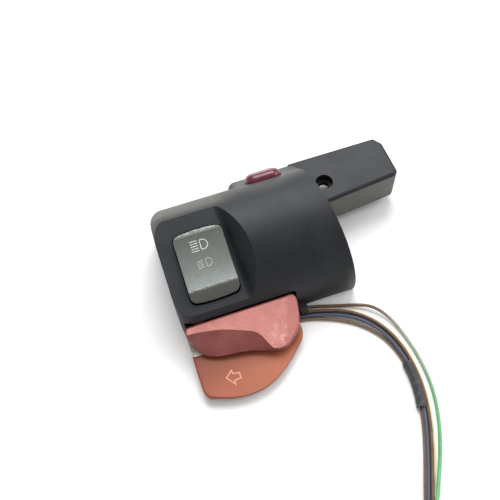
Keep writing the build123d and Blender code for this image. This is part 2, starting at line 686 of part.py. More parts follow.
def rocker_frame():
    half = ROCKER_WIDTH / 2 + EAR_GAP + EAR_THICK
    bottom = -FRAME_DEPTH - FRAME_THICK
    body = box(-half, half, -FRAME_FRONT_V, FRAME_BACK_V, bottom, -FRAME_DEPTH)
    for inner in (half - EAR_THICK, -half):
        body += box(
            inner, inner + EAR_THICK, -EAR_LENGTH / 2, EAR_LENGTH / 2, bottom, -WALL - TOUCH
        )
    cam = Pos(0, 0, -CAM_TOP_DEPTH) * Box(
        CAM_WIDTH, CAM_LENGTH, FRAME_DEPTH - CAM_TOP_DEPTH, align=MAX_Z
    )
    body += cam
    track = PLUNGER_TIP_DEPTH - ROCKER_PIVOT_DEPTH + TRACK_GAP
    body -= along_x(track, -CAM_WIDTH, CAM_WIDTH, 0, -ROCKER_PIVOT_DEPTH) & box(
        -CAM_WIDTH, CAM_WIDTH, -CAM_LENGTH, CAM_LENGTH, -FRAME_DEPTH, 0
    )
    body -= along_x(TRUNNION_R + RUN, -OVERRUN, OVERRUN, 0, -ROCKER_PIVOT_DEPTH)
    for x in (POST_X, -POST_X):
        body -= along_z(POST_SCREW_R + RUN, bottom, -FRAME_DEPTH, x, POST_V)
    for v in (LEG_V, -LEG_V):
        body -= along_z(TAIL_R, bottom, -FRAME_DEPTH, 0, v)
    return ROCKER * body


def dimmer_contacts():
    swing = radians(ROCKER_SWING)
    drop = LEG_DEPTH + BLADE_THICK - ROCKER_PIVOT_DEPTH
    low = ROCKER_PIVOT_DEPTH + drop * cos(swing) + (LEG_V + BLADE_LENGTH / 2) * sin(swing)
    height = FRAME_DEPTH - low - CONTACT_GAP
    pad = Pos(0, 0, -FRAME_DEPTH) * Box(PAD_WIDTH, PAD_LENGTH, height, align=MIN_Z)
    tail = Pos(0, 0, -FRAME_DEPTH) * Cylinder(TAIL_R, FRAME_THICK + DIMMER_TAIL, align=MAX_Z)
    return [ROCKER * Pos(0, v, 0) * (pad + tail) for v in (LEG_V, -LEG_V)]


def rocker_frame_screws():
    head = Cylinder(POST_HEAD_R, POST_HEAD_H, align=MAX_Z)
    screw = head + Cylinder(POST_SCREW_R, POST_SCREW_LENGTH, align=MIN_Z)
    slot = Pos(0, 0, -POST_HEAD_H) * Box(2 * POST_HEAD_R, SCREW_CROSS, SCREW_CROSS, align=MIN_Z)
    bottom = -FRAME_DEPTH - FRAME_THICK
    return [ROCKER * Pos(x, POST_V, bottom) * (screw - slot) for x in (POST_X, -POST_X)]


def pin_lugs():
    """The two lugs of the turn signal paddle's pin, in front of the carrier."""
    made = Part()
    for left in (TURN_BARREL_LEFT_X - LUG_GAP - LUG_THICK, TURN_BARREL_RIGHT_X + LUG_GAP):
        made += box(
            left, left + LUG_THICK, TURN_PIN_Y - LUG_FRONT, CARRIER_BACK_Y,
            COVER_THICK, TURN_PIN_Z + TURN_BARREL_R + MARGIN,
        )
    return made


def paddle_carrier():
    roof = TURN_PIN_Z + TURN_BARREL_R + MARGIN
    body = box(
        CARRIER_LEFT_X, CARRIER_RIGHT_X, HORN_BACK_Y, CARRIER_BACK_Y, COVER_THICK, CARRIER_TOP_Z
    )
    body &= drum_form(WALL + FIT)
    body -= box(
        TURN_BARREL_LEFT_X - LUG_GAP, TURN_BARREL_RIGHT_X + LUG_GAP, HORN_BACK_Y,
        TURN_PIN_Y + TURN_BARREL_R + MARGIN, 0, roof,
    )
    body -= box(
        TAIL_LEFT_X - MARGIN, TAIL_RIGHT_X + MARGIN, HORN_BACK_Y, TAIL_BACK_Y + MARGIN, 0, roof
    )
    body += pin_lugs()
    swing = (CARRIER_RIGHT_X - HORN_PIN_X) * sin(radians(HORN_SWING))
    body -= box(
        -OVERRUN, OVERRUN, -OVERRUN, HORN_BACK_Y + swing + MARGIN,
        HORN_BOTTOM_Z - MARGIN, CARRIER_TOP_Z,
    )
    body -= along_x(SEAT_ROOM_R, -OVERRUN, OVERRUN)
    body -= along_x(
        TURN_PIN_R + RUN, TURN_BARREL_LEFT_X - LUG_THICK, TURN_BARREL_RIGHT_X + LUG_THICK,
        TURN_PIN_Y, TURN_PIN_Z,
    )
    knuckle_top = HORN_KNUCKLE_Z + HORN_KNUCKLE_H
    body -= box(
        -OVERRUN, HORN_PIN_X + HORN_KNUCKLE_R + MARGIN, HORN_BACK_Y,
        HORN_PIN_Y + HORN_KNUCKLE_R + MARGIN, HORN_KNUCKLE_Z - MARGIN, knuckle_top + MARGIN,
    )
    body -= along_z(
        HORN_PIN_R + TOUCH, HORN_KNUCKLE_Z - HORN_PIN_SEAT, CARRIER_TOP_Z, HORN_PIN_X, HORN_PIN_Y
    )
    for x, y in CARRIER_SCREWS:
        body -= along_z(SCREW_R + TOUCH, 0, CARRIER_SCREW_LENGTH + TOUCH, x, y)
    body -= box(
        OUTLET_LEFT_X - FIT, OUTLET_RIGHT_X, -OVERRUN, OUTLET_BACK_Y + CHANNEL_DEPTH,
        0, CARRIER_TOP_Z,
    )
    body -= spring_pockets()
    for rivet in (*horn_contacts(), *turn_contacts()):
        body -= rivet
    return body


def spring_pockets():
    """The pockets of the two paddles' return springs."""
    room = SPRING_R + SPRING_WIRE_R + SPRING_ROOM
    horn = along_y(room, HORN_BACK_Y, horn_spring_seat(), HORN_SPRING_X, HORN_SPRING_Z)
    return horn + along_z(room, TURN_PIN_Z, TURN_SPRING_TOP_Z, TURN_SPRING_X, tail_y())


def horn_spring_seat():
    """Where the horn paddle's spring stands in the carrier."""
    return CARRIER_BACK_Y - SEAT_WALL - MARGIN


def tail_y():
    """The middle of the turn signal paddle's tail."""
    return (TURN_PIN_Y + TURN_BARREL_R + TAIL_BACK_Y) / 2


def tail_top():
    return TURN_PIN_Z - TURN_BARREL_R + MARGIN + TAIL_THICK


def horn_point(share):
    """A point of the horn paddle seen from above, from its shares of width and reach."""
    return (HORN_LEFT_X + share[0] * HORN_WIDTH, HORN_BACK_Y - share[1] * HORN_REACH)


def horn_plan():
    """The horn paddle seen from above, with its back corners rounded."""
    sides = Polyline(*[horn_point(share) for share in HORN_SIDE_SHARES])
    front = Spline(*[horn_point(share) for share in HORN_FRONT_SHARES])
    face = make_face(Curve() + [sides, front])
    return fillet(face.vertices().group_by(Axis.Y)[-1], HORN_CORNER)


def scoop_face(shares, height):
    """The level section of the thumb scoop at a height, open to the front."""
    points = [horn_point(share) for share in shares]
    left, right = points[0], points[-1]
    front = right[1] - HORN_REACH
    edges = [Spline(*points), Polyline(right, (right[0], front), (left[0], front), left)]
    return Plane.XY.offset(height) * make_face(Curve() + edges)


def horn_scoop():
    """What the thumb scoop takes away: a lean hollow between a low and a high outline."""
    low = scoop_face(SCOOP_LOW_SHARES, HORN_BOTTOM_Z)
    return loft([low, scoop_face(SCOOP_TOP_SHARES, HORN_TOP_Z)], ruled=True)


def horn_body():
    """The finger piece of the horn paddle, without its knuckle."""
    body = Pos(0, 0, HORN_BOTTOM_Z) * extrude(horn_plan(), HORN_TOP_Z - HORN_BOTTOM_Z)
    fall = radians(HORN_FALL)
    up = Vector(0, -sin(fall), cos(fall))
    top = Plane(origin=(0, HORN_BACK_Y, HORN_TOP_Z), x_dir=(1, 0, 0), z_dir=up)
    body -= top.location * Box(OVERRUN, OVERRUN, OVERRUN, align=MIN_Z)
    seen = body.faces().filter_by(GeomType.PLANE).sort_by(Axis((0, 0, 0), up))[-1]
    return fillet(seen.edges(), HORN_ROUND) - horn_scoop()


def horn_paddle():
    body = horn_body()
    knuckle_top = HORN_KNUCKLE_Z + HORN_KNUCKLE_H
    body += along_z(HORN_KNUCKLE_R, HORN_KNUCKLE_Z, knuckle_top, HORN_PIN_X, HORN_PIN_Y)
    web = HORN_PIN_X - HORN_KNUCKLE_R
    body += box(
        web, HORN_PIN_X + HORN_KNUCKLE_R, HORN_BACK_Y - HORN_ROUND * 2, HORN_PIN_Y,
        HORN_KNUCKLE_Z, knuckle_top,
    )
    return body - along_z(HORN_PIN_R + RUN, 0, OVERRUN, HORN_PIN_X, HORN_PIN_Y)


def horn_pin():
    foot = HORN_KNUCKLE_Z - HORN_PIN_SEAT + TOUCH
    return along_z(HORN_PIN_R, foot, CARRIER_TOP_Z - TOUCH, HORN_PIN_X, HORN_PIN_Y)


def horn_spring():
    seat = horn_spring_seat()
    coil = spring(SPRING_R, SPRING_WIRE_R, seat - HORN_BACK_Y - 2 * TOUCH, SPRING_TURNS)
    return Pos(HORN_SPRING_X, seat - TOUCH, HORN_SPRING_Z) * Rot(90, 0, 0) * coil


def horn_bridge():
    half = HORN_BRIDGE_LENGTH / 2
    return box(
        HORN_BRIDGE_X - half, HORN_BRIDGE_X + half, HORN_BACK_Y, HORN_BACK_Y + BRIDGE_THICK,
        HORN_SPRING_Z - BRIDGE_WIDTH / 2, HORN_SPRING_Z + BRIDGE_WIDTH / 2,
    )


def horn_contacts():
    """The fixed contacts that the bridge meets at the end of the paddle's swing."""
    made = []
    for x in (HORN_BRIDGE_X - RIVET_SPACING / 2, HORN_BRIDGE_X + RIVET_SPACING / 2):
        swing = (x + RIVET_R - HORN_PIN_X) * sin(radians(HORN_SWING))
        face = HORN_BACK_Y + BRIDGE_THICK + swing + CONTACT_GAP
        made.append(along_y(RIVET_R, face, CARRIER_BACK_Y - WALL, x, HORN_SPRING_Z))
    return made


def nylon_stop():
    neck = CARRIER_LEFT_X + MARGIN
    foot = box(
        STOP_LEFT_X, STOP_RIGHT_X, STOP_FRONT_Y, HORN_BACK_Y - MARGIN, STOP_BOTTOM_Z, STOP_TOP_Z
    )
    foot += box(
        STOP_LEFT_X, STOP_RIGHT_X, STOP_TONGUE_Y, HORN_BACK_Y - HORN_ROUND * 2 - MARGIN,
        STOP_TOP_Z, STOP_TOP_Z + STOP_TONGUE_THICK,
    )
    foot = fillet(foot.edges().filter_by(Axis.Z).group_by(Axis.X)[0].sort_by(Axis.Y)[:2], STOP_ROUND)
    arm_back = box(neck, STOP_RIGHT_X, STOP_FRONT_Y + STOP_ROUND, HORN_PIN_Y, STOP_BOTTOM_Z, STOP_TOP_Z)
    return foot + (arm_back - drum_form(WALL + FIT))


def turn_plan():
    """The turn signal paddle's plate seen from above."""
    def place(share):
        return (TURN_LEFT_X + share[0] * TURN_WIDTH, TURN_FRONT_Y + TURN_REACH * (1 - share[1]))

    front = [place(share) for share in TURN_FRONT_SHARES]
    root = [place(share) for share in TURN_ROOT_SHARES]
    left = Polyline(root[-1], front[0], front[1], front[2])
    curve = Spline(*front[2:])
    back = Polyline(front[-1], *root)
    return make_face(Curve() + [left, curve, back])


def turn_paddle():
    top = TURN_BOTTOM_Z + TURN_THICK
    plate = Pos(0, 0, TURN_BOTTOM_Z) * extrude(turn_plan(), TURN_THICK)
    seen = plate.edges().filter_by_position(Axis.Z, top - TOUCH, top + TOUCH)
    visible_y = TURN_FRONT_Y + TURN_REACH
    plate = fillet([e for e in seen if e.center().Y < visible_y - TURN_ROUND], TURN_ROUND)
    dish_x = TURN_LEFT_X + TURN_DISH_SHARE[0] * TURN_WIDTH
    dish_y = TURN_FRONT_Y + TURN_DISH_SHARE[1] * TURN_REACH
    plate -= Pos(dish_x, dish_y, top + TURN_DISH_R - TURN_DISH) * Sphere(TURN_DISH_R)
    root_left = TURN_LEFT_X + TURN_ROOT_SHARES[2][0] * TURN_WIDTH
    root_right = TURN_BARREL_RIGHT_X
    body = plate + box(
        root_left, root_right, visible_y, TURN_PIN_Y, TURN_BOTTOM_Z, top - TURN_ROUND
    )
    body += along_x(
        TURN_BARREL_R, TURN_BARREL_LEFT_X, TURN_BARREL_RIGHT_X, TURN_PIN_Y, TURN_PIN_Z
    )
    body += box(
        TAIL_LEFT_X, TAIL_RIGHT_X, TURN_PIN_Y, TAIL_BACK_Y, tail_top() - TAIL_THICK, tail_top()
    )
    return body - along_x(TURN_PIN_R + RUN, -OVERRUN, OVERRUN, TURN_PIN_Y, TURN_PIN_Z)


def turn_pin():
    return along_x(
        TURN_PIN_R, TURN_BARREL_LEFT_X - LUG_THICK + TOUCH, TURN_BARREL_RIGHT_X + LUG_THICK - TOUCH,
        TURN_PIN_Y, TURN_PIN_Z,
    )


def turn_spring():
    foot = tail_top() + TOUCH
    coil = spring(SPRING_R, SPRING_WIRE_R, TURN_SPRING_TOP_Z - foot - TOUCH, SPRING_TURNS)
    return Pos(TURN_SPRING_X, tail_y(), foot) * coil


def turn_bridge():
    half = TURN_BRIDGE_LENGTH / 2
    return box(
        TURN_BRIDGE_X - half, TURN_BRIDGE_X + half, tail_y() - BRIDGE_WIDTH / 2,
        tail_y() + BRIDGE_WIDTH / 2, tail_top(), tail_top() + BRIDGE_THICK,
    )


def turn_contacts():
    """The fixed contacts over the tail, which lifts as the plate goes down."""
    lift = (tail_y() + BRIDGE_WIDTH / 2 - TURN_PIN_Y) * sin(radians(TURN_SWING))
    face = tail_top() + BRIDGE_THICK + lift + CONTACT_GAP
    top = CARRIER_TOP_Z + RIVET_TAIL
    return [
        along_z(RIVET_R, face, CARRIER_TOP_Z - RIVET_TAIL, x, tail_y())
        + along_z(TAIL_R, face + TAIL_R, top, x, tail_y())
        for x in (TURN_BRIDGE_X - RIVET_SPACING / 2, TURN_BRIDGE_X + RIVET_SPACING / 2)
    ]


def slab(length, width, corner, low, high):
    """A plate with round corners between two heights."""
    return Pos(0, 0, low) * extrude(RectangleRounded(length, width, corner), high - low)


def button_cap():
    body = slab(BUTTON_LENGTH, BUTTON_WIDTH, BUTTON_CORNER, -WALL - BUTTON_FLANGE_THICK, BUTTON_PROUD)
    body = fillet(body.edges().group_by(Axis.Z)[-1], BUTTON_ROUND)
    flange_top = -WALL - 3 * TOUCH
    body += slab(
        BUTTON_LENGTH + 2 * BUTTON_FLANGE, BUTTON_WIDTH + 2 * BUTTON_FLANGE,
        BUTTON_CORNER + BUTTON_FLANGE, flange_top - BUTTON_FLANGE_THICK, flange_top,
    )
    body += along_z(STEM_R, -STEM_DEPTH, flange_top)
    room = SPRING_R + SPRING_WIRE_R + SPRING_ROOM / 2
    return BUTTON * (body - along_z(room, -STEM_DEPTH, button_spring_top()))


def button_spring_top():
    """The end of the spring's hole in the button."""
    return -WALL / 2


def guide_floor():
    """The top of the button guide's floor."""
    return -STEM_DEPTH - BRIDGE_THICK - BUTTON_TRAVEL - 2 * TOUCH


def button_guide():
    room = BUTTON_FLANGE + FIT
    length = BUTTON_LENGTH + 2 * room
    width = BUTTON_WIDTH + 2 * room
    corner = BUTTON_CORNER + room
    floor = guide_floor()
    outer = slab(
        length + 2 * GUIDE_WALL, width + 2 * GUIDE_WALL, corner + GUIDE_WALL, floor - GUIDE_FLOOR,
        -WALL - TOUCH,
    )
    body = BUTTON * (outer - slab(length, width, corner, floor, 0))
    for rivet in button_contacts():
        body -= rivet
    return body & drum_form(WALL + TOUCH)


def button_spring():
    floor = guide_floor() + TOUCH
    coil = spring(SPRING_R, SPRING_WIRE_R, button_spring_top() - floor - TOUCH, SPRING_TURNS)
    return BUTTON * Pos(0, 0, floor) * coil


def button_bridge():
    plate = Pos(0, 0, -STEM_DEPTH) * Box(
        BUTTON_BRIDGE_LENGTH, BUTTON_BRIDGE_WIDTH, BRIDGE_THICK, align=MAX_Z
    )
    return BUTTON * (plate - along_z(SPRING_R + SPRING_WIRE_R + SPRING_ROOM, -OVERRUN, 0))


def button_contacts():
    floor = guide_floor()
    top = floor + TOUCH
    rivet = along_z(RIVET_R, floor - GUIDE_FLOOR, top) + along_z(
        TAIL_R, floor - GUIDE_FLOOR - RIVET_TAIL, floor
    )
    half = BUTTON_RIVET_SPACING / 2
    return [BUTTON * Pos(x, 0, 0) * rivet for x in (half, -half)]


def cable_outlet():
    body = box(
        OUTLET_LEFT_X, OUTLET_RIGHT_X - FIT, OUTLET_FRONT_Y, OUTLET_BACK_Y + FIT,
        OUTLET_BOTTOM_Z, OUTLET_TOP_Z,
    )
    collar = box(
        OUTLET_RIGHT_X - FIT, OUTLET_RIGHT_X, OUTLET_FRONT_Y + FIT, OUTLET_BACK_Y - MARGIN,
        OUTLET_BOTTOM_Z + FIT, OUTLET_TOP_Z - FIT,
    )
    return body + collar


def tube(points, radii, radius):
    """A round tube along straight runs that arcs join."""
    path = FilletPolyline(*points, radius=radii)
    return sweep(Plane(origin=path @ 0, z_dir=path % 0) * Circle(radius), path=path)


def inner_loom():
    """The taped bundle from the outlet to the frame under the rocker."""
    start = (LOOM_POINTS[0][0], OUTLET_BACK_Y + FIT, LOOM_Z)
    ear = ROCKER_WIDTH / 2 + EAR_GAP + EAR_THICK
    end = ROCKER * Pos(ear, LOOM_END_V, -LOOM_END_DEPTH)
    before = ROCKER * Pos(ear + 2 * LOOM_R, LOOM_END_V, -LOOM_END_DEPTH)
    points = [start, (*LOOM_POINTS[0][:2], LOOM_Z), *LOOM_POINTS[1:], tuple(before.position)]
    path = FilletPolyline(*points, radius=LOOM_RADII)
    run = sweep(Plane(origin=path @ 0, z_dir=path % 0) * Circle(LOOM_R), path=path)
    return run + along_x(
        LOOM_R, end.position.X, before.position.X, end.position.Y, end.position.Z
    )


def side_points(sides, heights):
    """The bundle's route moved sideways by each of sides, at each of heights."""
    made = []
    for i, (x, y) in enumerate(ROUTE):
        ahead = ROUTE[min(i + 1, len(ROUTE) - 1)]
        behind = ROUTE[max(i - 1, 0)]
        before = atan2(y - behind[1], x - behind[0]) if i else None
        after = atan2(ahead[1] - y, ahead[0] - x) if i < len(ROUTE) - 1 else before
        before = after if before is None else before
        middle = (before + after) / 2
        out = sides[i] / cos((after - before) / 2)
        made.append((x - out * sin(middle), y + out * cos(middle), heights[i]))
    return made


def bend_radii(points):
    """For each corner a share of the shorter run, over the tangent of half the turn."""
    made = []
    for a, b, c in zip(points, points[1:], points[2:]):
        before = Vector(*b) - Vector(*a)
        after = Vector(*c) - Vector(*b)
        shorter = min(before.length, after.length)
        made.append(BEND_SHARE * shorter / tan(radians(before.get_angle(after)) / 2))
    return made


def wire(name, points):
    """A free wire, with its bends and its volume printed."""
    radii = bend_radii(points)
    made = tube(points, radii, WIRE_D / 2)
    runs = [(Vector(*b) - Vector(*a)).length for a, b in zip(points, points[1:])]
    length = sum(runs)
    share = made.volume / (pi * WIRE_D**2 / 4 * length)
    print(name, "radii", [round(r) for r in radii], "length", round(length), "share", round(share, 3))
    return made


def torn_sleeve():
    """A thin arch of sleeve, cut from a tube along a gentle arc."""
    path = ThreePointArc(*((x, y, TORN_Z) for x, y in TORN_POINTS))
    outer = TORN_R + TORN_THICK
    points = [
        (r * cos(radians(a)), r * sin(radians(a)))
        for r, a in (
            (TORN_R, TORN_FROM), (TORN_R, (TORN_FROM + TORN_TO) / 2), (TORN_R, TORN_TO),
            (outer, TORN_TO), (outer, (TORN_FROM + TORN_TO) / 2), (outer, TORN_FROM),
        )
    ]
    edges = [
        ThreePointArc(*points[:3]), Line(points[2], points[3]),
        ThreePointArc(*points[3:]), Line(points[5], points[0]),
    ]
    start = path % 0
    section = Plane(origin=path @ 0, x_dir=Vector(0, 0, 1).cross(start), z_dir=start)
    return sweep(section * make_face(Curve() + edges), path=path)


def loom_place():
    """The plane at the bundle's end, with Z along its way out."""
    (x0, y0), (x1, y1) = ROUTE[-2:]
    way = Vector(x1 - x0, y1 - y0, 0).normalized()
    return Plane(Vector(x1, y1, SLEEVE_R) + way * LOOM_GAP, x_dir=(y0 - y1, x1 - x0, 0), z_dir=way)


def loom_sleeve():
    return loom_place().location * Cylinder(SLEEVE_R, SLEEVE_LENGTH, align=MIN_Z)


def coil_start():
    """The place and heading of the coil's start, level with the table."""
    place = loom_place()
    out = place.z_dir
    reach = SLEEVE_LENGTH + LEAD_LENGTH
    return Vector(place.origin.X + reach * out.X, place.origin.Y + reach * out.Y, SHEATH_R), out


def sheath_lead():
    place = loom_place()
    start = place.origin + place.z_dir * (SLEEVE_LENGTH + TOUCH)
    end, way = coil_start()
    end -= way * TOUCH
    path = Line(start, end)
    return sweep(Plane(origin=start, z_dir=path % 0) * Circle(SHEATH_R), path=path)


def coil_path():
    """Half turns, each smaller by half a pitch, then a tighter one inwards and a short straight."""
    place, heading = coil_start()
    pitch = 2 * SHEATH_R + COIL_GAP
    arcs = []
    for i in range(COIL_HALF_TURNS):
        arcs.append(JernArc(place, heading, COIL_R - i * pitch / 2, HALF_TURN))
        place, heading = arcs[-1] @ 1, arcs[-1] % 1
    arcs.append(JernArc(place, heading, COIL_TAIL_R, COIL_TAIL_TURN))
    place, heading = arcs[-1] @ 1, arcs[-1] % 1
    arcs.append(Line(place, place + heading * (2 * SHEATH_R)))
    return arcs


def sheath_coil():
    arcs = coil_path()
    path = Wire([a.edge() for a in arcs])
    points = [arc @ (i / ARC_STEPS) for arc in arcs for i in range(ARC_STEPS)]
    apart = 3 * SHEATH_R
    steps = [0.0]
    for a, b in zip(points, points[1:]):
        steps.append(steps[-1] + (b - a).length)
    least = min(
        (points[i] - points[j]).length
        for i in range(len(points))
        for j in range(i)
        if steps[i] - steps[j] > apart
    )
    print("coil radii", [COIL_R, COIL_TAIL_R], "least gap to itself", round(least - 2 * SHEATH_R, 2))
    print("sheath length", round(LEAD_LENGTH + path.length))
    return sweep(Plane(origin=path @ 0, z_dir=path % 0) * Circle(SHEATH_R), path=path)


def connector_place():
    """The plane at the coil's end, with Z along its way out and Y up."""
    last = coil_path()[-1]
    out = last % 1
    end = last @ 1
    return Plane(origin=end, x_dir=Vector(0, 0, 1).cross(out), z_dir=out).location


def connector_body():
    lift = CONNECTOR_HEIGHT / 2 - SHEATH_R
    shell = Pos(0, lift, 0) * Box(CONNECTOR_WIDTH, CONNECTOR_HEIGHT, CONNECTOR_LENGTH, align=MIN_Z)
    shell = fillet(shell.edges().filter_by(Axis.Z), CONNECTOR_ROUND)
    mouth = Box(
        CONNECTOR_WIDTH - 2 * CONNECTOR_WALL, CONNECTOR_HEIGHT - 2 * CONNECTOR_WALL,
        CONNECTOR_DEPTH, align=MAX_Z,
    )
    return connector_place() * (shell - Pos(0, lift, CONNECTOR_LENGTH) * mouth)


def connector_terminals():
    lift = CONNECTOR_HEIGHT / 2 - SHEATH_R
    blade = Box(TERMINAL_WIDTH, TERMINAL_THICK, TERMINAL_LENGTH, align=MIN_Z)
    foot = CONNECTOR_LENGTH - CONNECTOR_DEPTH
    room_x = (CONNECTOR_WIDTH - 2 * CONNECTOR_WALL) / TERMINAL_COLUMNS
    room_y = (CONNECTOR_HEIGHT - 2 * CONNECTOR_WALL) / TERMINAL_ROWS
    return [
        connector_place()
        * Pos(
            (column - (TERMINAL_COLUMNS - 1) / 2) * room_x,
            lift + (row - (TERMINAL_ROWS - 1) / 2) * room_y,
            foot,
        )
        * blade
        for column in range(TERMINAL_COLUMNS)
        for row in range(TERMINAL_ROWS)
    ]


def connector_latch():
    top = CONNECTOR_HEIGHT - SHEATH_R
    arm_plate = Pos(0, top, CONNECTOR_LENGTH - LATCH_LENGTH) * Box(
        LATCH_WIDTH, LATCH_THICK, LATCH_LENGTH, align=(Align.CENTER, Align.MIN, Align.MIN)
    )
    step = Pos(0, top + LATCH_THICK, CONNECTOR_LENGTH) * Box(
        LATCH_WIDTH, LATCH_STEP, LATCH_THICK, align=(Align.CENTER, Align.MIN, Align.MAX)
    )
    return connector_place() * (arm_plate + step)


NODES = {
    "front_housing": front_housing,
    "rear_cover": rear_cover,
    "cover_screws": cover_screws,
    "rocker_cap": rocker_cap,
    "rocker_blades": rocker_blades,
    "detent_plunger": detent_plunger,
    "detent_spring": detent_spring,
    "rocker_frame": rocker_frame,
    "rocker_frame_screws": rocker_frame_screws,
    "dimmer_contacts": dimmer_contacts,
    "paddle_carrier": paddle_carrier,
    "paddle_carrier_screws": paddle_carrier_screws,
    "horn_paddle": horn_paddle,
    "horn_pin": horn_pin,
    "horn_spring": horn_spring,
    "horn_bridge": horn_bridge,
    "horn_contacts": horn_contacts,
    "nylon_stop": nylon_stop,
    "turn_paddle": turn_paddle,
    "turn_pin": turn_pin,
    "turn_spring": turn_spring,
    "turn_bridge": turn_bridge,
    "turn_contacts": turn_contacts,
    "button_cap": button_cap,
    "button_guide": button_guide,
    "button_spring": button_spring,
    "button_bridge": button_bridge,
    "button_contacts": button_contacts,
    "cable_outlet": cable_outlet,
    "inner_loom": inner_loom,
    "torn_sleeve": torn_sleeve,
    "loom_sleeve": loom_sleeve,
    "sheath_lead": sheath_lead,
    "sheath_coil": sheath_coil,
    "connector_body": connector_body,
    "connector_terminals": connector_terminals,
    "connector_latch": connector_latch,
}


def main():
    os.makedirs("parts", exist_ok=True)
    for name, make in NODES.items():
        made = make()
        solids = made if isinstance(made, list) else [made]
        export_step(Compound([s for m in solids for s in m.solids()]), f"parts/{name}.step")
    for name, (sides, heights) in WIRES.items():
        export_step(wire(name, side_points(sides, heights)), f"parts/{name}.step")
    export_step(wire("wire_green", GREEN_WIRE), "parts/wire_green.step")


main()
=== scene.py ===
from math import atan2, cos, pi, radians, sin, sqrt

import bmesh
import bpy
from mathutils import Matrix, Vector


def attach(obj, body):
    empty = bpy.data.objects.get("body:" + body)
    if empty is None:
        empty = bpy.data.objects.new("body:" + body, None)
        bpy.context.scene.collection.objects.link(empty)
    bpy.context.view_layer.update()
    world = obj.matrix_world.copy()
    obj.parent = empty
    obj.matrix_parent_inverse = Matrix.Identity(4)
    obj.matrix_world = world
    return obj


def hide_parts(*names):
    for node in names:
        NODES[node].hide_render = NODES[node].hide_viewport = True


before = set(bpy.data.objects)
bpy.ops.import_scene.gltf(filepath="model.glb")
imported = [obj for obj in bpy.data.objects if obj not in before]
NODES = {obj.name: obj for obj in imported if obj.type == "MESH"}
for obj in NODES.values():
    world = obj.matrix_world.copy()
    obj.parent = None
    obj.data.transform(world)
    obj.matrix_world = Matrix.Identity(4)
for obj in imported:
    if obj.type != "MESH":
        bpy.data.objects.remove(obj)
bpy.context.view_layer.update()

MM = 0.001

# The camera stands where the photograph's did: distances and the sensor are in millimetres,
# turns in degrees, and the focal length in pixels of a square picture that is PICTURE_PX wide.
CAMERA_TARGET = (0, 0, 18)
CAMERA_DISTANCE = 266
CAMERA_ELEVATION = 60
CAMERA_AZIMUTH = -13
CAMERA_ROLL = 6.2
CAMERA_FOCAL_PX = 620
CAMERA_SENSOR = 36
CAMERA_NEAR = 10
PICTURE_PX = 500

# How finely the cords' curves are stepped along, round, and for their length
CORD_STEPS = 10
CORD_SIDES_STEPS = 5
MEASURE_STEPS = 24

# The bundle's route, with each wire's distance to its outer side and its height, as in part.py
WIRE_D = 1.4
ROUTE = (
    (7.6, -29.2), (13.0, -29.2), (21.5, -31.4), (31.0, -35.2), (39.3, -41.6), (44.8, -50.6),
    (47.2, -61.6), (46.9, -74.0), (43.7, -87.0), (38.2, -99.8), (32.2, -111.8), (27.6, -121.2),
)
LOW = (1.3, 0.75, 0.75, 0.75, 0.75, 0.75, 0.75, 0.75, 0.75, 0.75, 1.1, 2.0)
HIGH = (2.75, 2.1, 2.1, 2.1, 2.15, 2.1, 2.1, 2.1, 2.1, 2.1, 2.5, 3.4)
WIRES = {
    "wire_cream": ((1.6, 1.7, 2.0, 2.4, 2.2, 1.9, 1.7, 1.6, 1.6, 1.6, 1.6, 1.5), LOW),
    "wire_grey": ((0.0, 0.0, 0.1, 0.3, 0.2, 0.1, 0.0, 0.0, 0.0, 0.0, 0.0, 0.0), LOW),
    "wire_brown": ((-1.6, -1.7, -2.1, -2.6, -2.7, -2.1, -1.7, -1.6, -1.6, -1.6, -1.6, -1.5), LOW),
    "wire_dark_brown": ((0.8, 0.9, 1.2, 1.5, 1.2, 0.9, 0.8, 0.8, 0.8, 0.8, 0.8, 0.8), HIGH),
    "wire_blue": ((-0.8, -0.8, -0.7, -0.6, -0.8, -1.2, -1.1, -0.8, -0.8, -0.8, -0.8, -0.8), HIGH),
}
GREEN_WIRE = (
    (7.6, -25.6, 1.3), (12.6, -25.6, 0.9), (20.4, -27.0, 0.75), (28.6, -29.8, 0.75),
    (36.4, -32.3, 1.4), (43.0, -35.6, 2.2), (47.8, -42.4, 1.6), (50.8, -52.6, 0.8),
    (52.1, -65.0, 0.75), (51.2, -77.4, 0.75), (47.8, -89.0, 0.75), (42.6, -100.2, 0.75),
    (37.0, -109.0, 2.0), (32.8, -115.6, 4.5), (27.8, -121.1, 4.8),
)

# The sheath past the bundle's sleeve, and its coil
SLEEVE_LENGTH = 12.0
SLEEVE_R = 3.15
LOOM_GAP = 0.2
SHEATH_R = 2.75
LEAD_LENGTH = 34.0
COIL_R = 33.0
COIL_RADII = (
    33.0, 33.0, 32.8, 32.4, 32.0, 31.6, 31.1, 30.5, 29.9, 29.2, 28.5, 27.6, 26.9, 26.7, 26.5, 26.2,
    25.9, 25.7,
)
COIL_TAIL_IN = 9.7
COIL_TAIL_RADII = (16.2, 16.6, 16.9, 17.0, 17.0)
COIL_STEP = 30.0

# The rocker's top, and the panel that it stands in
PANEL_TILT = 21.7
PANEL_FOOT = (-3.876, 28.290)
ROCKER_X = -20.1
ROCKER_V = -1.8
ROCKER_DISH_MIDDLE = 1.7
ROCKER_DISH_LOW = 2.4
ROCKER_DISH_R = 51.5

